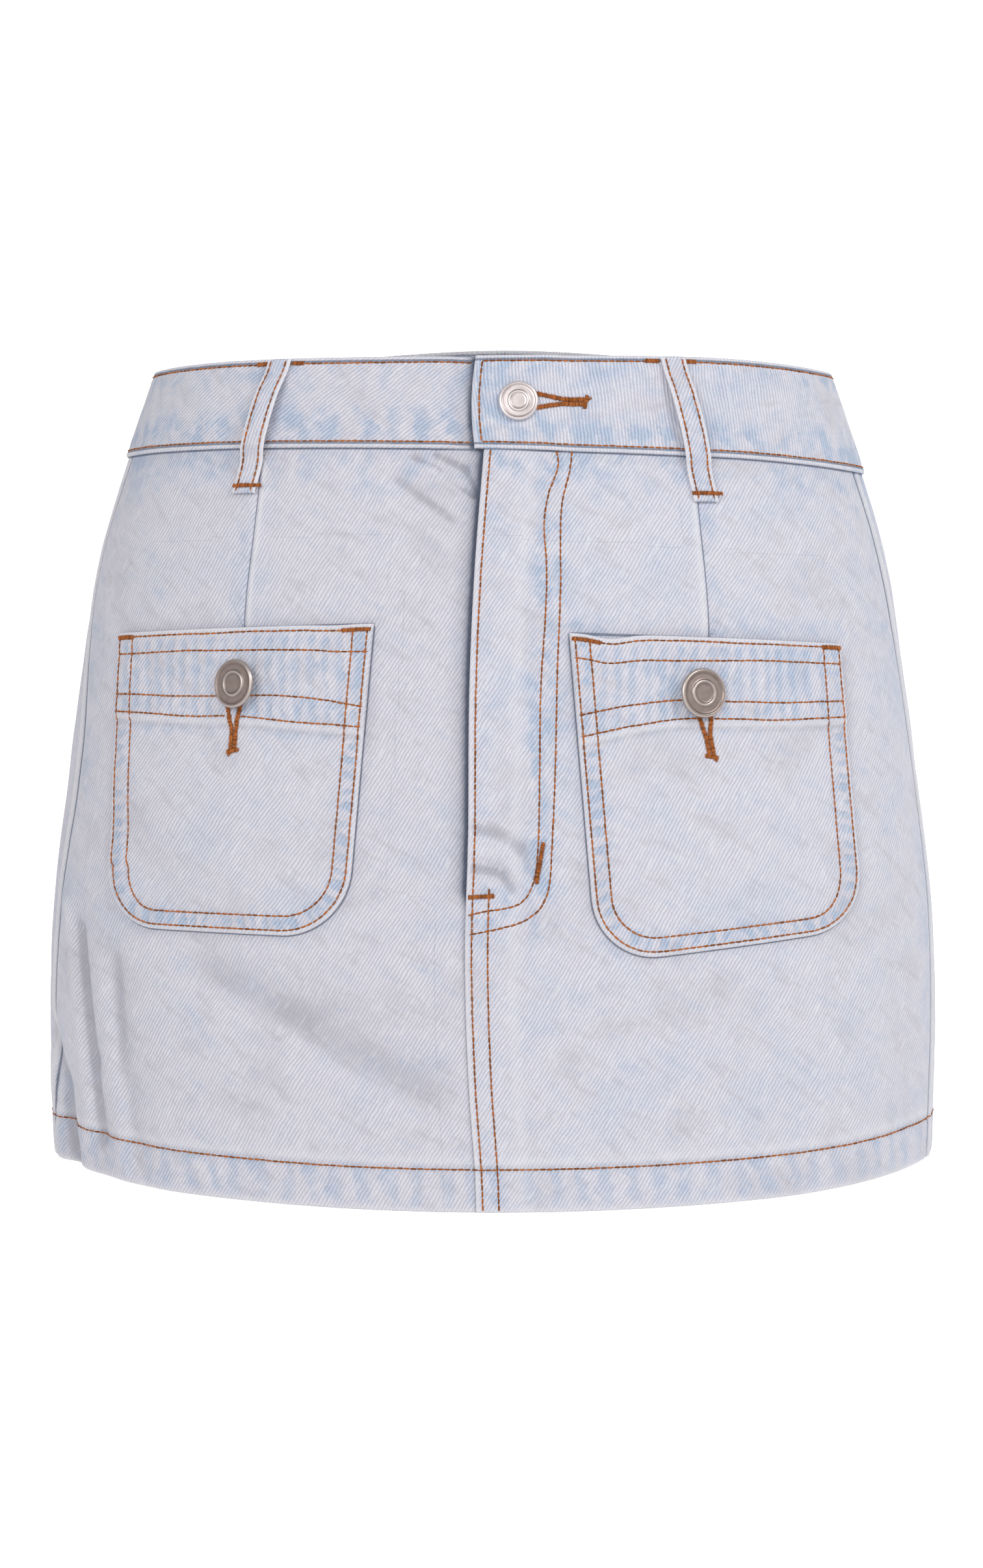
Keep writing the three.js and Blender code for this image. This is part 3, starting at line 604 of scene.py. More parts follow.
def band_rims(around, z):
    """The waistband's two folded edges, and the dips along its stitching."""
    top, foot = waist_z(around) - z, z - band_foot_z(around)
    across = around * half_round(z)
    rims = -0.95 * roll(top, 1.6) - 0.85 * roll(foot, 1.3)
    dips = stitch_dip(top - BAND_TOP_ROW) + stitch_dip(foot - BAND_FOOT_ROW)
    swell = 0.3 * near(foot - 1.4, 1.2)
    swell = swell + 0.28 * uneven(across + 0.8 * z, 15, 37) * near(top - 20, 12)
    pucker = 0.16 * uneven(across + 0.6 * z, 12, 9) * (near(foot - 5, 4) + near(top - 4, 4))
    return rims + dips + swell + pucker


def band_left_out(around, z):
    across = around * half_round(z)
    end = across - tab_end(z)
    base = mix(TAB_PROUD, BAND_PROUD, ease(*TAB_EASE, across))
    return base + band_rims(around, z) - 1.2 * roll(end, 1.8) + stitch_dip(end - 3.4)


def band_right_out(around, z):
    across = around * half_round(z)
    return mix(BAND_PROUD, UNDERLAP_PROUD, ease(*UNDERLAP_DIP, across)) + band_rims(around, z)


def tab_end(z):
    """The tab's edge, which bows a little towards the wearer's right."""
    share = share_of((waist_z(0) - z) / (waist_z(0) - band_foot_z(0)))
    return TAB_END - TAB_BOW * np.sin(math.pi * share)


# Pockets, in their own measures: x from the inner edge, depth down from the mouth

def pocket_height(pocket):
    return pocket["top_z"][0] - pocket["bottom_z"][0]


def pocket_width(pocket, depth):
    down = depth / pocket_height(pocket)
    return mix(pocket["top"][1], pocket["bottom"][1], down) - mix(pocket["top"][0], pocket["bottom"][0], down)


def pocket_place(pocket, x, depth):
    """Share of the way round and height of a place on a pocket."""
    down = depth / pocket_height(pocket)
    beside = x / pocket_width(pocket, depth)
    z = mix(mix(*pocket["top_z"], beside), mix(*pocket["bottom_z"], beside), down)
    z = z - pocket["mouth_dip"] * near(x - 17, 9) * ease(34, 0, depth)
    across = pocket["sign"] * (mix(pocket["top"][0], pocket["bottom"][0], down) + x)
    return round_from(across, z), z


def pocket_rim(pocket, x, depth):
    """Distance inside the pocket's sewn outline."""
    side = np.minimum(x, pocket_width(pocket, depth) - x)
    foot = pocket_height(pocket) - depth
    corner = pocket["corner"]
    in_corner = (side < corner) & (foot < corner)
    return np.where(in_corner, corner - np.hypot(corner - side, corner - foot), np.minimum(side, foot))


def pocket_line(pocket, index, x, depth):
    """Depth of a row of stitching across the pocket's facing: 0 at its mouth, then 1 to 3."""
    if index == 0:
        return POCKET_ROW
    return curve(pocket["rows"], index)(x / pocket_width(pocket, depth))


def facing_left(pocket, x, depth):
    """How far above the facing's lower edge a place is."""
    return pocket_line(pocket, 3, x, 40) + FACING_PAST_ROW - depth


def pocket_thickness(pocket, x, depth):
    return mix(FACING_THICKNESS, CLOTH, ease(0.7, -1.5, facing_left(pocket, x, depth)))


def second_inset(pocket, x, depth):
    """The inner row of the outline's stitching stands further in at the pocket's outer side."""
    return mix(*POCKET_SECOND_ROW, ease(0.3, 1, x / pocket_width(pocket, depth)))


def pocket_out(pocket, x, depth):
    down = share_of(depth / pocket_height(pocket))
    beside = share_of(x / pocket_width(pocket, depth))
    rim = pocket_rim(pocket, x, depth)
    play = POCKET_PLAY * np.sin(math.pi * beside) * (1 - down) ** 1.5
    out = SEWN_GAP + play + pocket_thickness(pocket, x, depth)
    out = out + 0.35 * ease(10.5, 8.4, rim) + stitch_dip(rim - POCKET_ROW)
    out = out + stitch_dip(rim - second_inset(pocket, x, depth)) * ease(6, 10, depth)
    for index in range(4):
        out = out + stitch_dip(depth - pocket_line(pocket, index, x, depth), 0.25)
    side = np.minimum(x, pocket_width(pocket, depth) - x)
    run = np.where(side < pocket_height(pocket) - depth, depth, x)
    out = out + 0.15 * uneven(run + 0.5 * rim, 7, 8) * near(rim - 5, 3.2)
    facing = ease(8, 12, depth) * ease(0, 8, facing_left(pocket, x, depth))
    out = out + 0.3 * facing * uneven(x + 0.2 * depth, pocket["seed"], 15)
    out = out - (out - 0.45) * roll(rim, 1.7)
    return out - 0.85 * roll(depth, 1.5)


# Belt loops, in their own measures: along from the top, x across from the middle

def loop_place(loop, along, x):
    top_around, foot_around, foot = loop
    top_z = waist_z(top_around) - LOOP_TOP_DROP
    foot_z = band_foot_z(foot_around) - foot
    z = mix(top_z, foot_z, along)
    around = mix(top_around, foot_around, along) + round_from(x, z)
    return around, z


def loop_out(loop, along, x):
    top_around, foot_around, _ = loop
    middle = mix(top_around, foot_around, along)
    _, z = loop_place(loop, along, 0)
    under = BAND_PROUD * (1 - ease(0.8, 6, band_foot_z(middle) - z))
    edge = LOOP_WIDTH / 2 - np.abs(x)
    crown = -0.9 * roll(edge, 1.6) + stitch_dip(edge - 2, 0.25, 0.9)
    ends = 0.8 * roll(along * LOOP_LENGTH, 1.4) + 1.2 * roll((1 - along) * LOOP_LENGTH, 1.6)
    return under + loop_rise(along) + LOOP_THICKNESS + crown - ends


# Settings that a user would change

class SkirtClothSettings(bpy.types.PropertyGroup):
    """The denim's weave and colour."""

    grid: FloatProperty(name="Mesh pitch", description="Distance between the cloth's points, in mm",
                        default=1.6, min=1, max=8)
    back_grid: FloatProperty(name="Back mesh pitch", description="The same on the back panels, in mm",
                             default=2.6, min=1, max=8)
    twill_pitch: FloatProperty(name="Twill pitch", description="Distance between the twill's ribs, in mm",
                               default=1.42, min=0.5, max=4)
    pale: FloatVectorProperty(name="Bleached colour", description="Ribs of the washed twill", subtype="COLOR",
                              size=3, default=(0.785, 0.775, 0.835), min=0, max=1)
    valley: FloatVectorProperty(name="Valley colour", description="Between the ribs", subtype="COLOR",
                                size=3, default=(0.575, 0.575, 0.66), min=0, max=1)
    blue: FloatVectorProperty(name="Blue colour", description="Where the wash left the dye", subtype="COLOR",
                              size=3, default=(0.48, 0.58, 0.73), min=0, max=1)


class SkirtThreadSettings(bpy.types.PropertyGroup):
    """The topstitching thread."""

    pitch: FloatProperty(name="Stitch length", description="From one stitch to the next, in mm",
                         default=2.8, min=1, max=6)
    width: FloatProperty(name="Thread width", description="Across the thread, in mm",
                         default=0.86, min=0.2, max=2)
    colour: FloatVectorProperty(name="Thread colour", description="Copper topstitching thread",
                                subtype="COLOR", size=3, default=(0.32, 0.098, 0.021), min=0, max=1)


class SkirtStageSettings(bpy.types.PropertyGroup):
    """Camera and light."""

    camera_distance: FloatProperty(name="Camera distance", description="From the skirt's axis", unit="LENGTH",
                                   default=1.665, min=0.5, max=5)
    camera_turn: FloatProperty(name="Camera turn", description="Towards the wearer's left", subtype="ANGLE",
                               default=math.radians(4))
    key_power: FloatProperty(name="Key light", description="Power of the large front light, in watts",
                             default=18.8, min=0, max=500)
    turn_steps: IntProperty(name="Button steps", description="Steps round each button",
                            default=56, min=12, max=128)


# Materials: expressions on sockets

def operation(kind, reflected=False):
    """A method that adds one Math node to its value's graph."""
    def method(value, *others):
        inputs = (*others, value) if reflected else (value, *others)
        node = value.graph.node("ShaderNodeMath", {"operation": kind}, *inputs)
        return Value(value.graph, node.outputs[0])
    return method


class Value:
    """A number in a material's maths, so that an expression adds its Math nodes."""

    def __init__(self, graph, socket):
        self.graph = graph
        self.socket = socket

    __add__ = operation("ADD")
    __radd__ = operation("ADD", reflected=True)
    __sub__ = operation("SUBTRACT")
    __rsub__ = operation("SUBTRACT", reflected=True)
    __mul__ = operation("MULTIPLY")
    __rmul__ = operation("MULTIPLY", reflected=True)
    sine = operation("SINE")
    at_most = operation("MINIMUM")

    def between(self, low, high):
        """0 below low, 1 above high, and smooth between; low may be the greater."""
        node = self.graph.node("ShaderNodeMapRange", {"interpolation_type": "SMOOTHSTEP", "clamp": True},
                               self, low, high, 0.0, 1.0)
        return Value(self.graph, node.outputs[0])


class Graph:
    """A material's nodes, added by type, settings and inputs."""

    def __init__(self, name):
        self.material = bpy.data.materials.new(name)
        self.material.use_nodes = True
        self.tree = self.material.node_tree
        self.shader = next(n for n in self.tree.nodes if n.type == "BSDF_PRINCIPLED")

    def node(self, kind, settings, *inputs):
        made = self.tree.nodes.new(kind)
        for key, setting in settings.items():
            setattr(made, key, setting)
        for socket, given in zip(made.inputs, inputs):
            self.give(socket, given)
        return made

    def give(self, socket, given):
        if given is None:
            return
        if isinstance(given, Value):
            given = given.socket
        if isinstance(given, bpy.types.NodeSocket):
            self.tree.links.new(given, socket)
        else:
            socket.default_value = given

    def attribute(self, name):
        return Value(self, self.node("ShaderNodeAttribute", {"attribute_name": name}).outputs["Fac"])

    def combine(self, x, y, z=0.0):
        return self.node("ShaderNodeCombineXYZ", {}, x, y, z).outputs[0]

    def noise(self, vector, scale, detail=2.0, roughness=0.5):
        made = self.node("ShaderNodeTexNoise", {"noise_dimensions": "3D"})
        self.give(made.inputs["Vector"], vector)
        made.inputs["Scale"].default_value = scale
        made.inputs["Detail"].default_value = detail
        made.inputs["Roughness"].default_value = roughness
        return Value(self, made.outputs[0])

    def cloth_place(self):
        """Millimetres along and down the cloth's own map."""
        uv = self.node("ShaderNodeUVMap", {"uv_map": "cloth"}).outputs[0]
        parts = self.node("ShaderNodeSeparateXYZ", {}, uv)
        return Value(self, parts.outputs[0]) * 1000, Value(self, parts.outputs[1]) * 1000

    def object_place(self):
        return self.node("ShaderNodeTexCoord", {}).outputs["Object"]

    def blend(self, factor, first, second, kind="MIX"):
        made = self.node("ShaderNodeMix", {"data_type": "RGBA", "blend_type": kind})
        self.give(made.inputs[0], factor)
        self.give(made.inputs[6], first)
        self.give(made.inputs[7], second)
        return made.outputs[2]

    def surface(self, **inputs):
        for name, given in inputs.items():
            self.give(self.shader.inputs[name.replace("_", " ").title().replace("Ior", "IOR")], given)
        return self.material

    def bump(self, height, distance, strength):
        made = self.node("ShaderNodeBump", {})
        made.inputs["Strength"].default_value = strength
        made.inputs["Distance"].default_value = distance
        self.give(made.inputs["Height"], height)
        return made.outputs["Normal"]


def colour(triple):
    return (*triple, 1.0)


DYE_LOW = (0.32, 0.415, 0.575, 1.0)
# Grey of the uneven wash, which also gives painted shade in crease troughs
GREY_AND_SHADE = (0.485, 0.475, 0.525, 1.0)
SLUB_WHITE = (0.84, 0.84, 0.87, 1.0)
# White of worn edges, which also gives painted highlight on crease ridges
WORN_AND_HIGHLIGHT_WHITE = (0.84, 0.83, 0.865, 1.0)
# Colours of painted dark shade lines in seams and gaps, and of painted soft shade
SHADE_LINE_COLOUR = (0.085, 0.12, 0.195, 1.0)
SHADE = (0.10, 0.12, 0.175, 1.0)
CROSS_PITCH = 1.9
ROPE_PITCH = 6.5


def denim(name, settings, lean, tint=(1.0, 1.0, 1.0)):
    """Bleached twill: ribs that lean from the horizontal, with worn edges and blue roping where sewn, painted
    shade and shade lines along seams, edges and crease troughs, and painted highlight on crease ridges.
    """
    graph = Graph(name)
    u, v = graph.cloth_place()
    spot = graph.combine(u, v)
    slope = math.radians(lean)
    drift = graph.noise(spot, 0.035, 1.0) * 3.2 + graph.noise(spot, 0.3, 1.0) * 0.75
    across = u * math.sin(slope) - v * math.cos(slope) + drift
    along = u * math.cos(slope) + v * math.sin(slope)
    turn = across * (2 * math.pi / settings.twill_pitch)
    rib = turn.sine() * 0.5 + 0.5
    pick = (along * (2 * math.pi / CROSS_PITCH) + turn * 0.35).sine() * 0.5 + 0.5
    streak = graph.noise(graph.combine(across * 1.5, along * 0.14), 1.0, 2.0)
    grit = graph.noise(spot, 1.6, 2.0, 0.6)
    weave = rib.between(0.0, 0.85) * (0.76 + pick * 0.24) + (streak - 0.5) * 1.1 + (grit - 0.5) * 0.9
    cloud = graph.noise(spot, 0.028, 3.0, 0.55)
    mottle = graph.noise(spot, 0.12, 3.0, 0.6)
    blotch = graph.noise(spot, 0.3, 2.0, 0.6)

    pale = graph.attribute("pale")
    dyed = graph.attribute("dyed")
    rope = graph.attribute("rope")
    run = graph.attribute("run")
    stripe = (run * (2 * math.pi / ROPE_PITCH) + cloud * 11 + mottle * 4).sine()
    roped = rope * (stripe + (mottle - 0.5) * 4 + (blotch - 0.5) * 2).between(-0.7, 1.1)
    kept = dyed * (mottle * 0.6 + cloud * 0.4).between(0.42, 0.62)
    smoke = graph.noise(graph.combine(across * 0.05, along * 0.16), 1.0, 3.0, 0.6)
    wash = cloud.between(0.46, 0.72) * 0.2 + smoke.between(0.48, 0.72) * 0.2
    wash = wash + mottle.between(0.54, 0.74) * 0.16
    blue = roped * 0.8 + kept * 0.66 + wash + blotch.between(0.62, 0.76) * 0.16
    slub = graph.noise(graph.combine(across * 0.75, along * 0.09), 1.0, 1.0).between(0.6, 0.74)
    # Painted shade in the folds' troughs, and painted highlight on their ridges
    crease = graph.attribute("crease")
    line = graph.attribute("line")
    # A thin painted shade line where the line attribute, a distance to a seam, gap or edge, is near 0
    shade_line = (line * line).between(1.2, 0.04) * (0.62 + blotch * 0.3)
    # Painted shade: soft shadow beside seams, under the band, by the fly's lap and the tab's end, and in
    # crease troughs
    deep = graph.attribute("deep") * (0.72 + blotch * 0.5) + crease.between(0.3, 1.6) * 0.22
    # Random greying of the wash, and painted shade in crease troughs
    grey = smoke.between(0.5, 0.3) * 0.34 + cloud.between(0.5, 0.28) * 0.32 + crease.between(0.0, 1.1) * 0.5

    base = graph.blend(weave.between(0.0, 1.0), colour(settings.valley), colour(settings.pale))
    greyed_and_shaded = graph.blend(grey.at_most(0.8), base, GREY_AND_SHADE)
    dye = graph.blend(weave.between(0.0, 1.0), DYE_LOW, colour(settings.blue))
    washed = graph.blend(blue.at_most(0.78), greyed_and_shaded, dye)
    slubbed = graph.blend(slub * 0.4, washed, SLUB_WHITE)
    # Worn pale edges, and painted highlight on crease ridges
    worn_and_highlit = pale + crease.between(-0.1, -1.4) * 0.5
    worn = graph.blend((worn_and_highlit * (0.4 + mottle * 0.8)).at_most(0.75), slubbed, WORN_AND_HIGHLIGHT_WHITE)
    # Painted dark shade lines, then painted soft shade, laid over the cloth's colour
    worn = graph.blend(shade_line * 0.95, worn, SHADE_LINE_COLOUR)
    worn = graph.blend(deep.at_most(0.92), worn, SHADE)
    # Times the piece's tint, which on the wearer's right is painted shade
    toned = graph.blend(1.0, worn, colour(tint), "MULTIPLY")
    height = weave * 0.7 + grit * 0.3 + mottle * 0.7 + cloud * 3 - roped * 2.4
    normal = graph.bump(height, 0.00028, 0.85)
    return graph.surface(base_color=toned, roughness=0.92, normal=normal, sheen_weight=0.12,
                         sheen_roughness=0.5, specular_ior_level=0.18)


def thread(name, settings):
    """Twisted thread, with a tone of its own on every stitch."""
    graph = Graph(name)
    place = graph.object_place()
    tone = graph.attribute("tone")
    fuzz = graph.noise(place, 2600, 2.0)
    shade = (tone * 0.55 + fuzz * 0.6).between(0.1, 1.1)
    dark = colour(part * 0.55 for part in settings.colour)
    light = colour(min(1, part * 1.7 + 0.015) for part in settings.colour)
    base = graph.blend(shade, dark, light)
    normal = graph.bump(fuzz, 0.0002, 0.6)
    return graph.surface(base_color=base, roughness=0.75, normal=normal, specular_ior_level=0.15)


# Metals: where they are polished by wear, where they are not, and their bright rims
PALE_PEWTER = (0.78, 0.70, 0.69), (0.68, 0.60, 0.59), (0.95, 0.90, 0.89)
DARK_PEWTER = (0.40, 0.325, 0.295), (0.335, 0.27, 0.245), (0.72, 0.65, 0.61)
BRASS = (0.62, 0.52, 0.34), (0.42, 0.34, 0.2), (0.8, 0.7, 0.5)
METAL_ROUGHNESS = 0.36


def metal(name, light, dark, bright):
    """Soft, hand-worn metal, bright on its rims and darker where the polish has not reached."""
    graph = Graph(name)
    place = graph.object_place()
    wear = graph.noise(place, 420, 3.0, 0.6)
    brushed = graph.noise(place, 3800, 2.0)
    flat = graph.blend(wear.between(0.2, 0.8), colour(dark), colour(light))
    rims = graph.blend(graph.attribute("polish") * 0.9, flat, colour(bright))
    base = graph.blend(graph.attribute("grime") * 0.35, rims, colour(part * 0.3 for part in dark))
    normal = graph.bump(brushed, 0.00002, 0.25)
    rough = wear * 0.08 + brushed * 0.05 + (METAL_ROUGHNESS - 0.065)
    return graph.surface(base_color=base, metallic=1.0, roughness=rough, normal=normal)


def woven_tape(name):
    """Herringbone tape for the zip."""
    graph = Graph(name)
    u, v = graph.cloth_place()
    bone = ((u * 5.2 + (v * 3.1).sine() * 0.8).sine() * 0.5 + 0.5) * 0.7
    bone = bone + graph.noise(graph.combine(u, v), 2.0) * 0.4
    base = graph.blend(bone.between(0.1, 1.0), (0.42, 0.43, 0.47, 1), (0.66, 0.67, 0.7, 1))
    return graph.surface(base_color=base, roughness=0.85, normal=graph.bump(bone, 0.00015, 0.7))


# Building pieces

# The wear that a piece of cloth carries at each of its points, with its painted shade, painted shade lines
# and painted crease shade and highlight, and the value of each where there is none
WEAR_AND_SHADE = {"pale": 0, "dyed": 0, "rope": 0, "run": 0, "deep": 0, "crease": 0, "line": 20}
FAR = 20


def write_attribute(mesh, name, values):
    layer = mesh.attributes.new(name=name, type="FLOAT", domain="POINT")
    layer.data.foreach_set("value", values)


def mesh_from(bm, name):
    mesh = bpy.data.meshes.new(name)
    bm.to_mesh(mesh)
    bm.free()
    return mesh


def read_points(mesh):
    flat = np.zeros(len(mesh.vertices) * 3)
    mesh.vertices.foreach_get("co", flat)
    return flat.reshape(-1, 3)


def finish_piece(mesh, name, material, slot, replaced=()):
    piece = bpy.data.objects.new(name, mesh)
    bpy.context.collection.objects.link(piece)
    mesh.materials.append(material)
    mesh.shade_smooth()
    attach(piece, "root")
    if replaced:
        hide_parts(*replaced)
    return piece


def shell(name, columns, rows, place, look, thickness, material, slot, replaced):
    """A sheet of cloth over a grid: place(column, row) gives around, height and out, look() the wear and the
    painted shade and highlight.
    """
    bm = bmesh.new()
    bmesh.ops.create_grid(bm, x_segments=len(columns) - 1, y_segments=len(rows) - 1, size=1.0)
    mesh = mesh_from(bm, name)
    flat = read_points(mesh)
    c = np.rint((flat[:, 0] + 1) / 2 * (len(columns) - 1)).astype(int)
    r = np.rint((1 - flat[:, 1]) / 2 * (len(rows) - 1)).astype(int)
    given = columns[c], rows[r]
    around, z, out = place(*given)
    points = cloth(around, z, out) * MM
    mesh.vertices.foreach_set("co", points.ravel())
    loops = np.zeros(len(mesh.loops), int)
    mesh.loops.foreach_get("vertex_index", loops)
    uv = mesh.uv_layers.new(name="cloth")
    uv.data.foreach_set("uv", (np.stack([around * half_round(z), z], -1) * MM)[loops].ravel())
    wear = look(*given, around, z)
    for key, plain in WEAR_AND_SHADE.items():
        write_attribute(mesh, key, np.broadcast_to(wear.get(key, plain), z.shape).astype(float))
    mesh.update()
    piece = finish_piece(mesh, name, material, slot, replaced)
    face_outwards(mesh, outward(around, z))
    solid = piece.modifiers.new("Cloth thickness", "SOLIDIFY")
    solid.offset = -1
    amounts = thickness(*given)
    solid.thickness = float(np.max(amounts)) * MM
    weights = np.round(amounts * MM / solid.thickness, 2)
    group = piece.vertex_groups.new(name="thickness")
    for weight in np.unique(weights):
        group.add(np.flatnonzero(weights == weight).tolist(), float(weight), "REPLACE")
    solid.vertex_group = group.name
    solid.use_even_offset = False
    return piece


def even(amount):
    """The same thickness at every place."""
    return lambda column, row: np.full(column.shape, amount)


def face_outwards(mesh, normals):
    """Turns the sheet's faces outwards if the grid came out the other way round."""
    polygon = mesh.polygons[len(mesh.polygons) // 2]
    if Vector(normals[polygon.vertices[0]]).dot(polygon.normal) < 0:
        mesh.flip_normals()


def outside_pocket(pocket, across, z):
    """Distance inside a pocket's outline, below 0 outside it, for a place on the panel behind."""
    down = 0.5
    for _ in range(3):
        low, high = (mix(pocket["top"][i], pocket["bottom"][i], down) for i in (0, 1))
        beside = (pocket["sign"] * across - low) / (high - low)
        top, foot = mix(*pocket["top_z"], beside), mix(*pocket["bottom_z"], beside)
        down = (top - z) / (top - foot)
    x, depth = beside * (high - low), down * pocket_height(pocket)
    return np.minimum(pocket_rim(pocket, x, depth), depth)


def add_wear_and_shade(wear, key, amount):
    wear[key] = share_of(wear[key] + amount)


def panel_look(around, z, seam_distance, pocket=None, lap=None):
    """Worn hem, seams and waist of a panel, with painted shade under the band, beside its seams and at the
    hem's row; on a front also wear and painted shadow round its pocket, on the left wear by the lap.
    """
    above = z - hem_z(around)
    below_band = band_foot_z(around) - z
    across = around * half_round(z)
    hem_row = above - HEM_DEPTH
    # Painted shade under the band, beside the seams and at the hem's row, and painted dark shade lines at the
    # seams and under the band
    deep = bands((0.08, below_band, 4), (0.12, seam_distance, 4), (0.15, hem_row - 0.4, 1.2))
    line = nearest(seam_distance * 1.1, below_band * 1.3)
    if pocket:
        rim = outside_pocket(pocket, across, z)
        # Painted shadow round the pocket's edge, and a painted shade line along it
        deep = deep + 0.11 * near(rim, 3.5)
        line = nearest(line, (rim - 0.1) * 1.25)
    pale = bands((0.8, above, 1.6), (0.45, seam_distance - 2.8, 1.5), (0.4, hem_row - 3.2, 2))
    rope = 0.46 * ease(0, 6, above) * ease(HEM_DEPTH + 3, HEM_DEPTH - 1, above)
    dyed = bands((0.3, hem_row, 3), (0.4, seam_distance - 6, 7), (0.75, below_band - 5, 11))
    run = 0.58 * across + 0.06 * above
    if lap is not None:
        pale = pale + bands((0.9, lap, 1.5), (0.25, lap - 20, 2.5))
        rope = np.maximum(rope, 0.5 * near(lap - 31, 5) * ease(-262, -238, z))
        dyed = dyed + 0.6 * near(lap - 31, 8) * ease(-256, -232, z) + 0.35 * near(lap - 7, 5)
        dyed = dyed + 0.6 * near(lap - 8, 14) * near(z + 226, 16)
        dyed = dyed + 0.6 * near(lap - 27.5, 2.6) * ease(-226, -206, z) * ease(-60, -90, z)
        foot = near(polyline_distance(FLY_STITCH_INNER, across, z), 5.5) * ease(-200, -214, z)
        dyed = dyed + 0.8 * foot + 0.5 * near(rim + 3, 4.5) * ease(-190, -150, z) * ease(70, 50, across)
    # With painted shade in the folds' troughs and painted highlight on their ridges
    return {"pale": share_of(pale), "dyed": share_of(dyed), "rope": rope, "run": run,
            "deep": share_of(deep), "line": np.clip(line, -FAR, FAR), "crease": crease_shade_and_highlight(across, z)}


# Panels

def panel_rows(pitch):
    """Shares of the way down a panel, closer at the hem."""
    return spaced(0, 1, pitch / PANEL_LENGTH, fine=0.0012, rim=0.02)


def panel_height(around, share):
    return mix(band_foot_z(around) + 1.2, hem_z(around), share)


def settle(across_at, share):
    """Share of the way round and height of a panel's places, which depend on each other."""
    z = mix(band_foot_z(0), hem_z(0), share)
    for _ in range(4):
        around = round_from(across_at(z), z)
        z = panel_height(around, share)
    return around, z


def hem_or_single(column, share):
    return np.where(share > 1 - HEM_DEPTH / PANEL_LENGTH, HEM_THICKNESS, CLOTH)


def front_panel(sign, settings, material):
    left = sign > 0
    pocket = POCKETS["pocket_left" if left else "pocket_right"]
    columns = spaced(0, 1, settings.grid / FRONT_WIDTH, fine=0.0016, rim=0.02)
    # The columns beside the dart stand closer together than the rest
    by_dart = np.linspace(0.478, 0.525, 20) if left else np.linspace(0.478, 0.556, 32)
    before = columns[columns < by_dart[0] - 0.002]
    after = columns[columns > by_dart[-1] + 0.002]
    columns = np.concatenate([before, by_dart, after])

    def across_at(z):
        closed = ease(*FLY_CLOSES, z)
        start = fly_edge(z) + 0.02 if left else -(fly_edge(z) + mix(UNDERLAP_WIDTH, 0.4, closed))
        seam = side_seam(sign, z) * half_round(z) - SEAM_STANDOFF
        return start, seam

    def place(column, share):
        around, z = settle(lambda height: sign * mix(*across_at(height), column), share)
        out = front_left_out(around, z) if left else front_right_out(around, z)
        return around, z, out

    def look(column, share, around, z):
        across = around * half_round(z)
        side = (side_seam(around, z) - np.abs(around)) * half_round(z)
        dart = np.abs(across) - dart_at(z)
        lap = across - fly_edge(z) if left else None
        wear = panel_look(around, z, side, pocket, lap)
        fade = ease(DART_END_Z, DART_END_Z + 8, z)
        add_wear_and_shade(wear, "pale", 0.75 * near(dart + 2, 1.2) * fade)
        add_wear_and_shade(wear, "dyed", 0.4 * near(dart - 3, 4) * fade)
        # A painted shade line in the dart's groove
        dart_shade_line = np.where(z > DART_END_Z + 3, np.clip(dart * 2.3, -FAR, FAR), FAR)
        wear["line"] = nearest(wear["line"], dart_shade_line)
        if left:
            # Painted shade and highlight of the crumples at the fly's foot
            wear["crease"] = wear["crease"] + crease_shade_and_highlight(across, z, FLY_CREASES)
            add_wear_and_shade(wear, "dyed", 0.45 * near(z + 112, 5) * ease(30, 44, across))
        else:
            beside = fly_edge(z) - across
            closed = ease(*FLY_CLOSES, z)
            # Painted shadow of the fly's lap on the panel beside it, and a painted shade line at the lap's
            # edge, fainter where the fly is closed
            shadow = mix(bands((1, beside, 2.1), (0.4, beside, 6)), 0.25 * near(beside, 1.1), closed)
            add_wear_and_shade(wear, "deep", shadow)
            wear["line"] = nearest(wear["line"], np.hypot(beside * mix(0.55, 1.6, closed), 0.8 * closed))
        return wear

    name = "front_left" if left else "front_right"
    return shell(f"{name}_cloth", columns, panel_rows(settings.grid), place, look,
                 hem_or_single, material, "denim", [name])


def back_panel(sign, settings, material):
    columns = spaced(0, 1, settings.back_grid / BACK_WIDTH, fine=0.0014, rim=0.02)

    def place(column, share):
        def across_at(z):
            half = half_round(z)
            return sign * mix(side_seam(sign, z) * half + SEAM_STANDOFF, half - SEAM_STANDOFF, column)
        around, z = settle(across_at, share)
        return around, z, back_out(around, z)

    def look(column, share, around, z):
        half = half_round(z)
        side = np.abs(np.abs(around) - side_seam(around, z)) * half
        seam = np.minimum(side, np.abs(1 - np.abs(around)) * half)
        wear = panel_look(around, z, seam)
        add_wear_and_shade(wear, "pale", 0.6 * near(seam - 3, 2.2))
        fade = ease(BACK_DART_END_Z, BACK_DART_END_Z + 30, z)
        dart = (np.abs(around) - BACK_DART) * half
        add_wear_and_shade(wear, "pale", 0.4 * near(dart, 1.8) * fade)
        return wear

    name = "back_left" if sign > 0 else "back_right"
    return shell(f"{name}_cloth", columns, panel_rows(settings.back_grid), place, look,
                 hem_or_single, material, "denim", [name])


# Waistband

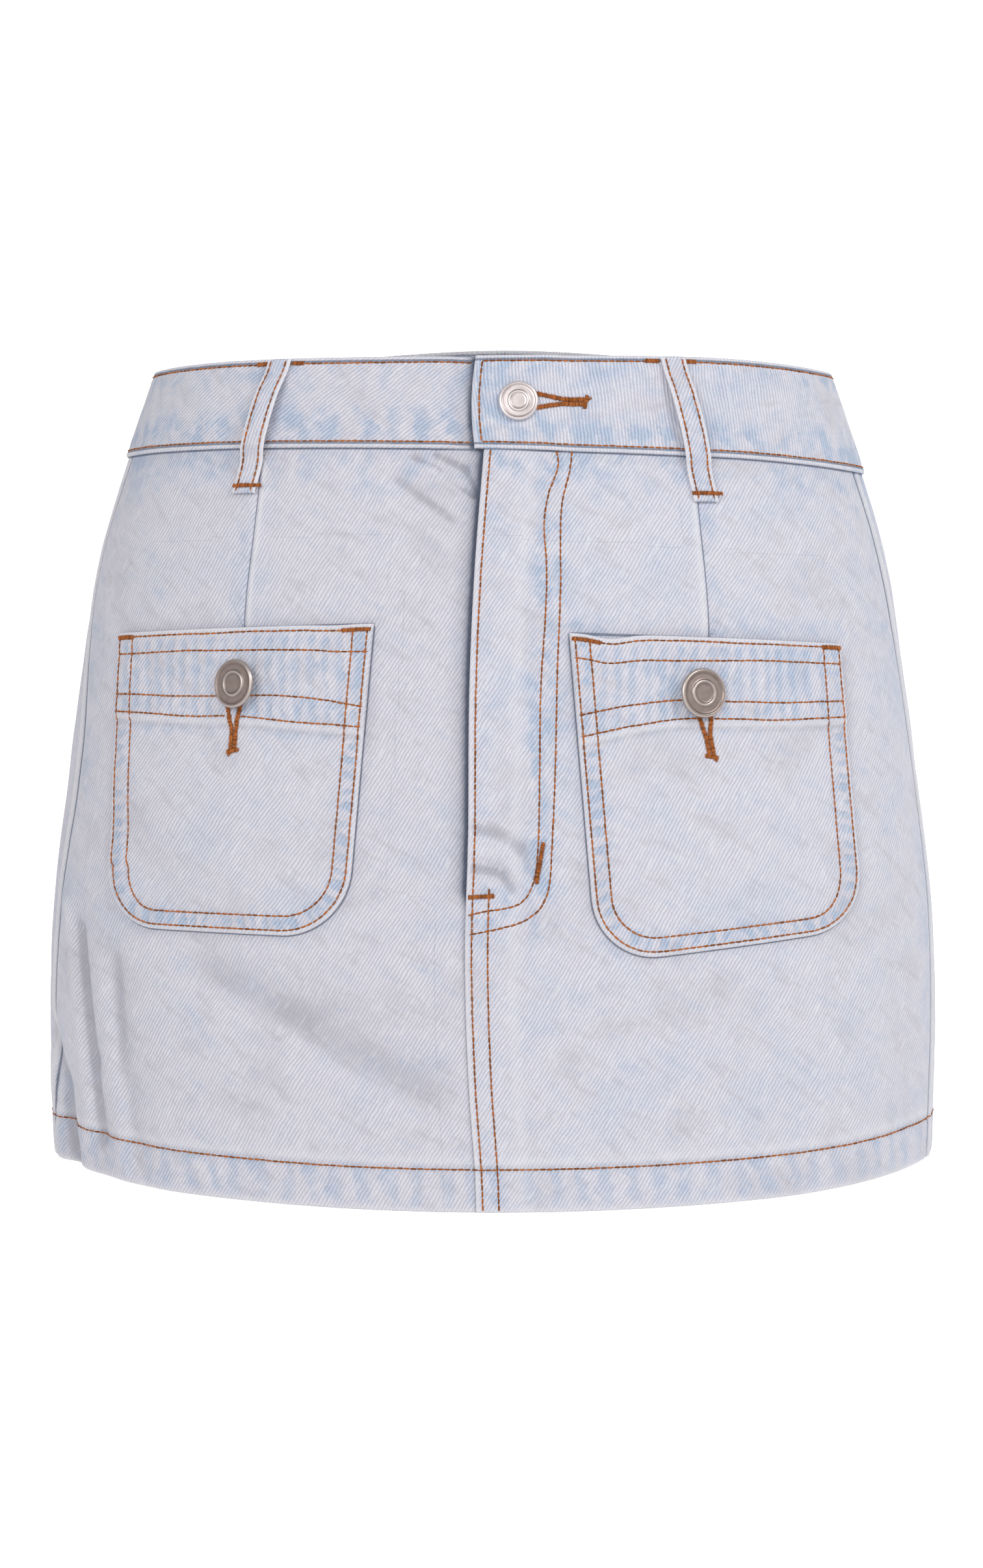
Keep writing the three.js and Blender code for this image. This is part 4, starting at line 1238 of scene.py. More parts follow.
def band_half(sign, settings, material):
    left = sign > 0
    columns = spaced(0, 1, settings.grid / BAND_LENGTH, fine=0.0009, rim=0.02)
    rows = spaced(0, 1, settings.grid / BAND_DEPTH, fine=0.009, rim=0.2)

    def place(column, share):
        z = mix(waist_z(0), band_foot_z(0), share)
        for _ in range(3):
            end = round_from(tab_end(z), z) if left else -round_from(UNDERLAP_END, z)
            seam = 1 - round_from(SEAM_STANDOFF, z)
            around = sign * mix(end, seam, column)
            z = mix(waist_z(around), band_foot_z(around), share)
        out = band_left_out(around, z) if left else band_right_out(around, z)
        return around, z, out

    def look(column, share, around, z):
        top, foot = waist_z(around) - z, z - band_foot_z(around)
        across = around * half_round(z)
        end = across - tab_end(z)
        pale = bands((0.6, top, 1.3), (0.5, foot - 1, 1.6))
        rope = bands((0.5, foot - 8.5, 6), (0.2, top - 5.5, 2.6))
        dyed = bands((0.85, foot - 8, 9), (0.5, top - 7, 6))
        dyed = dyed + 0.5 * ease(-0.1, 0.8, uneven(across + 0.5 * z, 5, 86))
        deep = 0.0
        if left:
            pale = pale + 0.6 * near(end, 1.5)
            dyed = dyed + 0.5 * near(end - 8, 6)
        else:
            # Painted shadow of the tab's end on the right half
            deep = share_of(bands((1, end, 1.6), (0.3, end, 6)))
        # Painted dark shade lines just inside the band's rolled top and foot
        line = nearest(foot - 2.0, top - 1.9) * 1.5
        run = 0.5 * across + 0.05 * z
        return {"pale": share_of(pale), "dyed": share_of(dyed), "rope": rope, "run": run,
                "deep": deep, "line": np.clip(line, -FAR, FAR)}

    name = "waistband_left" if left else "waistband_right"
    return shell(f"{name}_cloth", columns, rows, place, look,
                 even(BAND_THICKNESS), material, "denim_band", [name])


# Pockets

CORNER_STEPS = 14


def pocket_rows(pocket, pitch):
    """Depth and side inset of each row; the round corners take their own rows."""
    straight = pocket_height(pocket) - pocket["corner"]
    upper = spaced(0, straight, pitch, fine=0.3, rim=3)
    upper = upper[upper < straight - 0.5]
    turns = np.linspace(0, math.pi / 2, CORNER_STEPS)
    depth = np.concatenate([upper, straight + pocket["corner"] * np.sin(turns)])
    inset = np.concatenate([np.zeros(len(upper)), pocket["corner"] * (1 - np.cos(turns))])
    return depth, inset


def pocket_cloth(name, material):
    pocket = POCKETS[name]
    depths, insets = pocket_rows(pocket, POCKET_PITCH)
    columns = spaced(0, 1, POCKET_PITCH / POCKET_WIDTH, fine=0.0026, rim=0.03)

    def measures(column, row):
        depth, inset = depths[row], insets[row]
        return inset + column * (pocket_width(pocket, depth) - 2 * inset), depth

    def place(column, row):
        x, depth = measures(column, row)
        around, z = pocket_place(pocket, x, depth)
        return around, z, pocket_out(pocket, x, depth)

    def look(column, row, around, z):
        x, depth = measures(column, row)
        rim = pocket_rim(pocket, x, depth)
        side = np.minimum(x, pocket_width(pocket, depth) - x)
        foot = pocket_height(pocket) - depth
        run = np.where(side < foot, depth, pocket_height(pocket) - side) + 0.3 * rim
        left = facing_left(pocket, x, depth)
        facing = ease(3, 5, depth) * ease(0, 3, left)
        pale = bands((0.65, rim, 1.5), (0.7, depth, 1.4), (0.5, left, 1.6))
        banks = 0.34 + bands((0.24, depth - 6.5, 2.6), (0.18, depth - 18, 6), (0.32, left - 7.3, 3))
        rope = np.maximum(0.86 * near(rim - 5, 3.2) * ease(-0.5, -4, left), facing * banks)
        # Painted shadow along the facing's lower edge
        deep = 0.26 * near(left + 1.5, 1.1) * (0.7 + 0.3 * uneven(x, 5, 9)) * (rim > 1)
        dyed = 0.4 * near(rim - 6, 6) + 0.3 * facing + 0.6 * near(left + 3.2, 2.4)
        run = np.where(left > -0.25, x + 0.1 * depth, run)
        # With painted shade in the folds' troughs and painted highlight on their ridges
        return {"pale": share_of(pale), "dyed": share_of(dyed), "rope": rope, "run": run,
                "deep": deep, "crease": crease_shade_and_highlight(around * half_round(z), z)}

    def thickness(column, row):
        x, depth = measures(column, row)
        return np.where(facing_left(pocket, x, depth) > 0, FACING_THICKNESS, CLOTH)

    return shell(f"{name}_cloth", columns, np.arange(len(depths)), place, look, thickness,
                 material, "denim", [name])


# Belt loops

def belt_loop(name, material):
    loop = LOOPS[name]
    columns = spaced(-LOOP_WIDTH / 2, LOOP_WIDTH / 2, 0.9, fine=0.25, rim=2)
    rows = spaced(0, 1, 1.0 / LOOP_LENGTH, fine=0.005, rim=0.04)

    def place(x, along):
        around, z = loop_place(loop, along, x)
        return around, z, loop_out(loop, along, x)

    def look(x, along, around, z):
        edge = LOOP_WIDTH / 2 - np.abs(x)
        return {"pale": near(edge, 1.3), "dyed": 0.5 * near(edge - 4, 2),
                "rope": 0.4 * near(edge - 2.4, 1.4), "run": along * LOOP_LENGTH + 0.5 * x}

    return shell(f"{name}_cloth", columns, rows, place, look,
                 even(LOOP_THICKNESS), material, "denim_band", [name])


# Thread

STITCH_SIDES = 6
STITCH_RINGS = 4
STITCH_GAP = 0.12
STITCH_OVERLAP = 1.16
STITCH_FLATNESS = 0.85
STITCH_RISE = 0.1
STITCH_WANDER = 0.035
SATIN_WIDTH = 0.62
SATIN_HEIGHT = 0.75
SATIN_RISE = 0.3
SATIN_LEAN = 0.125
SATIN_REACH = 0.4


def repeated(unit, count):
    """A mesh that holds a small mesh many times over, copy after copy, made by doubling."""
    whole = bmesh.new()
    block = unit
    while count:
        if count % 2:
            whole.from_mesh(block)
        count //= 2
        double = bmesh.new()
        double.from_mesh(block)
        double.from_mesh(block)
        block = mesh_from(double, "block")
    return whole


class Sewing:
    """Collects stitches, each a small stretched bead, in one mesh."""

    def __init__(self, seed):
        self.places = []
        self.random = np.random.default_rng(seed)

    def bead(self, middle, along, up, length, width, height):
        along = along / np.linalg.norm(along)
        side = np.cross(up, along)
        side = side / np.linalg.norm(side)
        up = np.cross(along, side)
        turn = np.stack([side * width / 2, along * length / 2, up * height / 2], -1)
        self.places.append((turn, middle))

    def row(self, points, normals, settings):
        """A row of topstitching along a line of points, in metres."""
        run = run_along(points)
        pitch = settings.pitch * MM
        count = max(int(run[-1] / pitch), 1)
        for i in range(count):
            start = i * run[-1] / count
            length = run[-1] / count - STITCH_GAP * MM
            ends = [self.read(points, run, start), self.read(points, run, start + length)]
            normal = self.read(normals, run, start + length / 2)
            wander = self.random.normal(0, STITCH_WANDER, 3) * MM
            middle = (ends[0] + ends[1]) / 2 + normal * STITCH_RISE * MM + wander
            width = settings.width * self.random.uniform(0.9, 1.1) * MM
            long = length * STITCH_OVERLAP
            self.bead(middle, ends[1] - ends[0], normal, long, width, width * STITCH_FLATNESS)

    def satin(self, points, normals, width, pitch=0.5):
        """A close row of threads laid across a line, as on a bar tack or a buttonhole's edge."""
        run = run_along(points)
        for start in np.arange(0, run[-1], pitch * MM):
            here = self.read(points, run, start)
            ahead = self.read(points, run, min(start + SATIN_REACH * MM, run[-1]))
            behind = self.read(points, run, max(start - SATIN_REACH * MM, 0))
            normal = self.read(normals, run, start)
            side = np.cross(normal, ahead - behind)
            lean = side / np.linalg.norm(side) + SATIN_LEAN * self.random.normal(0, 1, 3)
            length = width * self.random.uniform(0.85, 1.12) * MM
            middle = here + normal * SATIN_RISE * MM
            self.bead(middle, lean, normal, length, SATIN_WIDTH * MM, SATIN_HEIGHT * MM)

    @staticmethod
    def read(values, run, at):
        return np.array([np.interp(at, run, values[:, k]) for k in range(3)])

    def piece(self, name, material):
        bead = bmesh.new()
        bmesh.ops.create_uvsphere(bead, u_segments=STITCH_SIDES, v_segments=STITCH_RINGS, radius=1.0)
        unit = mesh_from(bead, "bead")
        corners = read_points(unit)
        mesh = mesh_from(repeated(unit, len(self.places)), name)
        turns = np.array([turn for turn, _ in self.places])
        middles = np.array([middle for _, middle in self.places])
        points = np.einsum("nij,vj->nvi", turns, corners) + middles[:, None, :]
        mesh.vertices.foreach_set("co", points.ravel())
        write_attribute(mesh, "tone", np.repeat(self.random.random(len(self.places)), len(corners)))
        mesh.update()
        return finish_piece(mesh, name, material, None)


def smooth_line(points):
    """A smooth line through a few places, given as pairs."""
    points = np.array(points, float)
    run = run_along(points)
    rows = np.column_stack([run, points])
    at = np.linspace(0, run[-1], 240)
    return np.stack([curve(rows, 1)(at), curve(rows, 2)(at)], -1)


def laid(around, z, out):
    """A line on the cloth: its points in metres, and the outward directions."""
    around, z, out = np.broadcast_arrays(np.asarray(around, float), np.asarray(z, float), out)
    return cloth(around, z, out) * MM, outward(around, z)


def line_on(surface, line):
    """Places given as millimetres round and height, laid on a piece's outer face."""
    around = round_from(line[:, 0], line[:, 1])
    return laid(around, line[:, 1], surface(around, line[:, 1]))


# Buttons

# The cap's profile: share of the radius, and millimetres in front of its back
CAP = [
    (0.80, -0.05), (0.90, -0.02), (0.975, 0.2), (1, 0.62), (0.995, 1.15), (0.97, 1.6), (0.93, 1.9),
    (0.885, 1.96), (0.85, 1.8), (0.83, 1.5), (0.815, 1.42), (0.72, 1.46), (0.6, 1.5), (0.555, 1.52),
    (0.535, 1.75), (0.505, 2.02), (0.47, 2.08), (0.435, 1.96), (0.41, 1.66), (0.395, 1.58), (0.3, 1.6),
    (0.15, 1.61), (0, 1.62),
]


def frame_on(across, z):
    """A place on the cloth, with X round to the wearer's left, Y outwards and Z down."""
    around = round_from(across, z)
    normal = Vector(outward(np.array([around]), np.array([z]))[0])
    up = (Vector((0, 0, 1)) - normal * normal.z).normalized()
    right = up.cross(normal)
    pushed = outward(around, z) * push(np.array(across), np.array(z))[..., None]
    origin = Vector((face(around, z) + pushed) * MM)
    return Matrix.Translation(origin) @ Matrix((right, normal, -up)).transposed().to_4x4()


def turned(bm, places, axis, steps, merged):
    """A turned solid from places in metres that start and end on the axis."""
    verts = [bm.verts.new(place) for place in places]
    edges = [bm.edges.new(pair) for pair in zip(verts, verts[1:])]
    bmesh.ops.spin(bm, geom=verts + edges, cent=(0, 0, 0), axis=axis, dvec=(0, 0, 0),
                   angle=2 * math.pi, steps=steps, use_merge=True, use_duplicate=False)
    bmesh.ops.remove_doubles(bm, verts=bm.verts[:], dist=merged)
    bmesh.ops.recalc_face_normals(bm, faces=bm.faces[:])


def button(name, across, z, radius, outer_face, backing, backing_inside, material, slot, steps, lean=0.0):
    """A shank button: nail head and nail behind the cloth, shank, and the cap, which may lean."""
    cap_back = outer_face + SEAM_GAP
    head = backing_inside - SEAM_GAP
    profile = [(0, head - 1), (NAIL_HEAD_RADIUS - 0.4, head - 1), (NAIL_HEAD_RADIUS, head - 0.6),
               (NAIL_HEAD_RADIUS, head), (NAIL_RADIUS, head), (NAIL_RADIUS, backing + SEAM_GAP),
               (SHANK_RADIUS, backing + SEAM_GAP), (SHANK_RADIUS, cap_back)]
    profile += [(share * radius, cap_back + rise) for share, rise in CAP]
    bm = bmesh.new()
    turned(bm, [(wide * MM, high * MM, 0) for wide, high in profile], (0, 1, 0), steps, 1e-6)
    shares = np.array([math.hypot(vert.co.x, vert.co.z) for vert in bm.verts]) / (radius * MM)
    pivot = Matrix.Translation((0, cap_back * MM, 0))
    pivot = pivot @ Matrix.Translation((0, radius * abs(math.sin(lean)) * MM, 0))
    turn = pivot @ Matrix.Rotation(lean, 4, "Z") @ Matrix.Translation((0, -cap_back * MM, 0))
    bmesh.ops.transform(bm, matrix=frame_on(across, z) @ turn, verts=bm.verts[:])
    mesh = mesh_from(bm, name)
    polish = bands((1, shares - 0.96, 0.035), (1, shares - 0.485, 0.035))
    grime = bands((1, shares - 0.82, 0.025), (1, shares - 0.557, 0.02), (1, shares - 0.4, 0.02))
    for key, amount in (("polish", polish), ("grime", grime)):
        write_attribute(mesh, key, share_of(amount))
    return finish_piece(mesh, f"{name}_metal", material, slot, [name])


# Operators

# The denim of the pieces on the wearer's right is a little warmer and darker, as painted shade on the side
# away from the key light, and the twill leans differently on each piece, in degrees from the horizontal:
# right first, then left
RIGHT_SHADE_TINT = (0.985, 0.975, 0.97)
POCKET_SHADE_TINT = (0.985, 0.98, 0.975)
PANEL_LEAN = 58
BAND_LEANS = (38, 97)
POCKET_LEANS = (53, 61)
LOOP_LEAN = 66


def settings_of(context):
    scene = context.scene
    return scene.skirt_cloth, scene.skirt_thread, scene.skirt_stage


def sheet_of(piece, cut):
    flat, area = cut


class SKIRT_OT_panels(bpy.types.Operator):
    """Front and back panels"""

    bl_idname = "skirt.panels"
    bl_label = "Panels"

    def execute(self, context):
        settings, _, _ = settings_of(context)
        right = (-1, settings, denim("denim_right", settings, PANEL_LEAN, RIGHT_SHADE_TINT))
        left = (1, settings, denim("denim_left", settings, PANEL_LEAN))
        for panel, cut in ((front_panel, FRONT_CUT), (back_panel, BACK_CUT)):
            sheet_of(panel(*right), cut)
            sheet_of(panel(*left), cut)
        return {"FINISHED"}


class SKIRT_OT_waistband(bpy.types.Operator):
    """The two halves of the waistband"""

    bl_idname = "skirt.waistband"
    bl_label = "Waistband"

    def execute(self, context):
        settings, _, _ = settings_of(context)
        right = denim("band_right", settings, BAND_LEANS[0], RIGHT_SHADE_TINT)
        left = denim("band_left", settings, BAND_LEANS[1])
        sheet_of(band_half(-1, settings, right), BAND_RIGHT_CUT)
        sheet_of(band_half(1, settings, left), BAND_LEFT_CUT)
        return {"FINISHED"}


class SKIRT_OT_pockets(bpy.types.Operator):
    """The two patch pockets"""

    bl_idname = "skirt.pockets"
    bl_label = "Pockets"

    def execute(self, context):
        settings, _, _ = settings_of(context)
        right = denim("denim_pocket_right", settings, POCKET_LEANS[0], POCKET_SHADE_TINT)
        sheet_of(pocket_cloth("pocket_right", right), POCKET_CUT)
        left = denim("denim_pocket_left", settings, POCKET_LEANS[1])
        sheet_of(pocket_cloth("pocket_left", left), POCKET_CUT)
        return {"FINISHED"}


class SKIRT_OT_belt_loops(bpy.types.Operator):
    """The five belt loops"""

    bl_idname = "skirt.belt_loops"
    bl_label = "Belt loops"

    def execute(self, context):
        settings, _, _ = settings_of(context)
        material = denim("denim_loops", settings, LOOP_LEAN)
        for name in LOOPS:
            sheet_of(belt_loop(name, material), LOOP_CUT)
        return {"FINISHED"}


def band_rows(sewing, settings):
    """Stitching along the waistband's edges and down the tab's end."""
    for inset, edge, sign in ((BAND_TOP_ROW, waist_z, -1), (BAND_FOOT_ROW, band_foot_z, 1)):
        right = np.linspace(-1, -0.004, 500)
        z = edge(right) + sign * inset
        sewing.row(*laid(right, z, band_right_out(right, z)), settings)
        start = round_from(3.2, -10)
        left = np.linspace(start, 1, 500)
        z = edge(left) + sign * inset
        sewing.row(*laid(left, z, band_left_out(left, z)), settings)
    z = np.linspace(waist_z(0) - BAND_TOP_ROW, band_foot_z(0) + BAND_FOOT_ROW, 60)
    sewing.row(*line_on(band_left_out, np.stack([tab_end(z) + TAB_ROW, z], -1)), settings)


def fly_rows(sewing, settings):
    """Stitching round the fly, along its folded edge and down the seam below it."""
    for points in (FLY_STITCH_INNER, FLY_STITCH_OUTER):
        sewing.row(*line_on(front_left_out, smooth_line(points)), settings)
    for beside, top, count in ((SEAM_ROW, band_foot_z(0) - 0.6, 300), (SEAM_SECOND_ROW, -221, 160)):
        z = np.linspace(top, hem_z(0) + 0.8, count)
        sewing.row(*line_on(front_left_out, np.stack([fly_edge(z) + beside, z], -1)), settings)


def hem_rows(sewing, settings):
    """The hem's row, parted where the panels meet."""
    share = np.linspace(-1, 1, 1600)
    seams = -float(side_seam(-1, HEM_LEVEL)), float(side_seam(1, HEM_LEVEL))
    for low, high, surface in ((-1, seams[0], back_out), (seams[0], 0, front_right_out),
                               (0, seams[1], front_left_out), (seams[1], 1, back_out)):
        around = share[(share >= low) & (share <= high)]
        z = hem_z(around) + HEM_DEPTH
        sewing.row(*laid(around, z, surface(around, z)), settings)


def pocket_outline(pocket, inset, outer_inset, start_depth):
    """x and depth down the inner side, round the foot and up the outer side, inset from the edge."""
    height, corner = pocket_height(pocket), pocket["corner"]
    radius = corner - inset
    down = np.linspace(start_depth, height - corner, 60)
    up = down[::-1]
    turn = np.linspace(0, math.pi / 2, 24)
    low_width = pocket_width(pocket, height)
    x = [
        np.full(len(down), inset),
        corner - radius * np.cos(turn),
        np.linspace(corner, low_width - corner, 50),
        low_width - corner + (corner - outer_inset) * np.sin(turn),
        pocket_width(pocket, up) - outer_inset,
    ]
    depth = [
        down,
        height - corner + radius * np.sin(turn),
        np.full(50, height - inset),
        height - corner + radius * np.cos(turn),
        up,
    ]
    return np.concatenate(x), np.concatenate(depth)


def on_pocket(pocket, x, depth):
    around, z = pocket_place(pocket, x, depth)
    return laid(around, z, pocket_out(pocket, x, depth))


def pocket_stitching(sewing, settings):
    """Two rows round each pocket and four across its facing, the lower two parted at the button."""
    outlines = ((POCKET_ROW, POCKET_ROW, 1.6), (*POCKET_SECOND_ROW, 2.5))
    for pocket in POCKETS.values():
        for inset, outer_inset, start in outlines:
            sewing.row(*on_pocket(pocket, *pocket_outline(pocket, inset, outer_inset, start)), settings)
        hole_x = abs(pocket["button"][0]) - pocket["top"][0] - 3
        for index in range(4):
            x = np.linspace(1.4, float(pocket_width(pocket, 20)) - 1.4, 120)
            depth = pocket_line(pocket, index, x, 20) + 0.25 * uneven(x, 3 + index, 50)
            parts = (x < hole_x - 3.2, x > hole_x + 3.2) if index > 1 else (x > 0,)
            for part in parts:
                sewing.row(*on_pocket(pocket, x[part], depth[part]), settings)


def loop_stitching(sewing, settings):
    along = np.linspace(0.02, 0.985, 90)
    for loop in LOOPS.values():
        for side in (-1, 1):
            x = side * (LOOP_WIDTH / 2 - LOOP_ROW)
            around, z = loop_place(loop, along, x)
            sewing.row(*laid(around, z, loop_out(loop, along, x)), settings)


class SKIRT_OT_topstitching(bpy.types.Operator):
    """Every row of topstitching"""

    bl_idname = "skirt.topstitching"
    bl_label = "Topstitching"

    def execute(self, context):
        _, settings, _ = settings_of(context)
        material = thread("copper_thread", settings)
        rows = {"waistband_stitching": band_rows, "fly_stitching": fly_rows, "hem_stitching": hem_rows,
                "pocket_stitching": pocket_stitching, "loop_stitching": loop_stitching}
        for seed, (name, sew) in enumerate(rows.items()):
            sewing = Sewing(seed)
            sew(sewing, settings)
            sewing.piece(name, material)
        return {"FINISHED"}


# Bar tacks, in millimetres: the fly's two by (round, height), the pockets' along the mouth from either
# side, and those on the waistband beside each belt loop
FLY_TACKS = (((29.6, -202), (26.8, -219)), ((-1.2, -224.6), (9.6, -224.0)))
POCKET_TACKS = ((1, 13), (-11, -1))
POCKET_TACK_DEPTH = 2.4
BAND_TACKS = ((-11.5, -5.8), (5.8, 11))
BAND_TACK_ROW = 2.4
LOOP_TACK_ALONG = 0.945
TACK_WIDTH = 2.3


def bar_tacks(sewing):
    """Bar tacks at the fly, the pocket corners and the belt loops' feet."""
    for start, end in FLY_TACKS:
        sewing.satin(*line_on(front_left_out, np.linspace(start, end, 12)), TACK_WIDTH)
    for pocket in POCKETS.values():
        width = float(pocket_width(pocket, POCKET_TACK_DEPTH))
        for ends in POCKET_TACKS:
            x = np.linspace(*(end if end > 0 else width + end for end in ends), 14)
            sewing.satin(*on_pocket(pocket, x, np.full(14, POCKET_TACK_DEPTH)), TACK_WIDTH)
    for loop in LOOPS.values():
        x = np.linspace(-LOOP_WIDTH / 2, LOOP_WIDTH / 2 + 2.4, 14)
        along = np.full(14, LOOP_TACK_ALONG)
        around, z = loop_place(loop, along, x)
        sewing.satin(*laid(around, z, loop_out(loop, along, np.clip(x, -5.4, 5.4))), 2.2)
        surface = band_left_out if loop[0] > 0 else band_right_out
        for start, end in BAND_TACKS:
            around = loop[0] + round_from(np.linspace(start, end, 10), 0)
            z = waist_z(around) - BAND_TACK_ROW
            sewing.satin(*laid(around, z, surface(around, z)), TACK_WIDTH)


def buttonhole(sewing, place, length, tail):
    """Two sewn edges that run from the button and meet, then one, in the piece's own directions."""
    fork = 0.55 * length
    for side in (-1, 1):
        t = np.linspace(0, 1, 20)
        sewing.satin(*place(t * fork, side * (1 + 2.2 * (1 - t) ** 1.1)), 2.4, 0.44)
        sewing.satin(*place(np.linspace(fork, length, 24), np.full(24, side * 0.95)), 2.4, 0.44)
    sewing.satin(*place(np.linspace(length - 0.6, length + 0.6, 8), np.linspace(-2.7, 2.7, 8)), 2.2, 0.45)
    sewing.satin(*place(np.linspace(length, length + tail, 8), np.linspace(0, 1.8, 8)), 1.0, 0.45)


class SKIRT_OT_buttonholes(bpy.types.Operator):
    """Buttonholes and bar tacks"""

    bl_idname = "skirt.buttonholes"
    bl_label = "Buttonholes"

    def execute(self, context):
        sewing = Sewing(21)
        bar_tacks(sewing)

        def on_tab(along, beside):
            across, z = WAIST_BUTTON
            return line_on(band_left_out, np.stack([across + TAB_HOLE_START + along, z + 0.2 + beside], -1))

        buttonhole(sewing, on_tab, *TAB_HOLE)
        for pocket in POCKETS.values():
            across, z = pocket["button"]
            middle = abs(across) - mix(pocket["top"][0], pocket["bottom"][0], 0.3)
            start = pocket["top_z"][0] - z + POCKET_HOLE_START

            def down_pocket(along, beside):
                return on_pocket(pocket, middle + pocket["hole_lean"] * along / 30 + beside, start + along)

            buttonhole(sewing, down_pocket, *POCKET_HOLE)
        sewing.piece("buttonholes", bpy.data.materials["copper_thread"])
        return {"FINISHED"}


class SKIRT_OT_buttons(bpy.types.Operator):
    """The three shank buttons"""

    bl_idname = "skirt.buttons"
    bl_label = "Buttons"

    def execute(self, context):
        _, _, stage = settings_of(context)
        pale = metal("pale_pewter", *PALE_PEWTER)
        dark = metal("dark_pewter", *DARK_PEWTER)
        button("button_waist", *WAIST_BUTTON, WAIST_BUTTON_RADIUS, TAB_PROUD, UNDERLAP_PROUD,
               UNDERLAP_PROUD - BAND_THICKNESS, pale, "pale_pewter", stage.turn_steps)
        for name, pocket in POCKETS.items():
            down = (pocket["top_z"][0] - pocket["button"][1]) / pocket_height(pocket)
            outer_face = SEWN_GAP + POCKET_PLAY * (1 - down) ** 1.5 + FACING_THICKNESS
            lean = math.radians(pocket["lean"])
            across, z = pocket["button"]
            across += LEAN_SHIFT * lean
            button(f"button_{name}", across, z, POCKET_BUTTON_RADIUS, outer_face, 0, -CLOTH,
                   dark, "dark_pewter", stage.turn_steps, lean)
        return {"FINISHED"}


class SKIRT_OT_zip(bpy.types.Operator):
    """The zip's tapes and teeth, and the slider's finish"""

    bl_idname = "skirt.zip"
    bl_label = "Zip"

    def execute(self, context):
        brass = metal("zip_metal", *BRASS)
        tape = woven_tape("zip_tape")
        face_at = curve(ZIP_TAPES, 1)

        def place(across, z):
            return round_from(fly_edge(z) + across, z), z, face_at(across)

        def look(across, z, around, height):
            return {}

        columns = np.linspace(ZIP_TAPES[0][0], ZIP_TAPES[-1][0], 29)
        rows = np.linspace(ZIP_TOP_Z, ZIP_FOOT_Z, 150)
        shell("zip_tapes", columns, rows, place, look, even(TAPE_THICKNESS), tape, "zip_tape", ["zip"])
        bm = bmesh.new()
        tooth = Matrix.Translation((0, TOOTH_OUT * MM, 0))
        tooth = tooth @ Matrix.Diagonal([side * MM for side in TOOTH_SIZE] + [1])
        for i in range(int((CHAIN_TOP_Z - ZIP_FOOT_Z) / TOOTH_PITCH)):
            z = CHAIN_TOP_Z - TOOTH_PITCH * i
            offset = TOOTH_OFFSET if i % 2 else -TOOTH_OFFSET
            base = frame_on(float(fly_edge(z)) + ZIP_AXIS + offset, z)
            bmesh.ops.create_cube(bm, size=1.0, matrix=base @ tooth)
        bmesh.ops.bevel(bm, geom=bm.edges[:], offset=TOOTH_EDGE * MM, segments=1,
                        affect="EDGES", profile=0.5, material=-1)
        finish_piece(mesh_from(bm, "zip_teeth"), "zip_teeth", brass, "zip_metal")
        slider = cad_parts["zip_slider"]
        slider.data.materials.clear()
        slider.data.materials.append(brass)
        return {"FINISHED"}


# Stage, in metres: the floor's height, the bend up to the wall, and the light's aim
FLOOR_Z = -0.95
BEND_START = 4.4
BEND_RADIUS = 1.6
WALL_TOP = 3.4
LIGHT_AIM = Vector((0, 0, -0.18))
# Name, place, size, and power as a share of the key light's
LIGHTS = (
    ("key", (1.5, -1.7, 1.3), 0.8, 1.0),
    ("fill", (-0.9, -2.2, 0.7), 1.3, 0.83),
    ("low", (0.2, -2.2, -0.7), 1.2, 0.19),
)
WORLD_POWER = 0.435
SENSOR_WIDTH = 36
# Glow of the backdrop round the sides, which lights the cloth
WALL_GLOW = (0.295, 0.29, 0.295, 1)
WHITE = (1, 1, 1, 1)


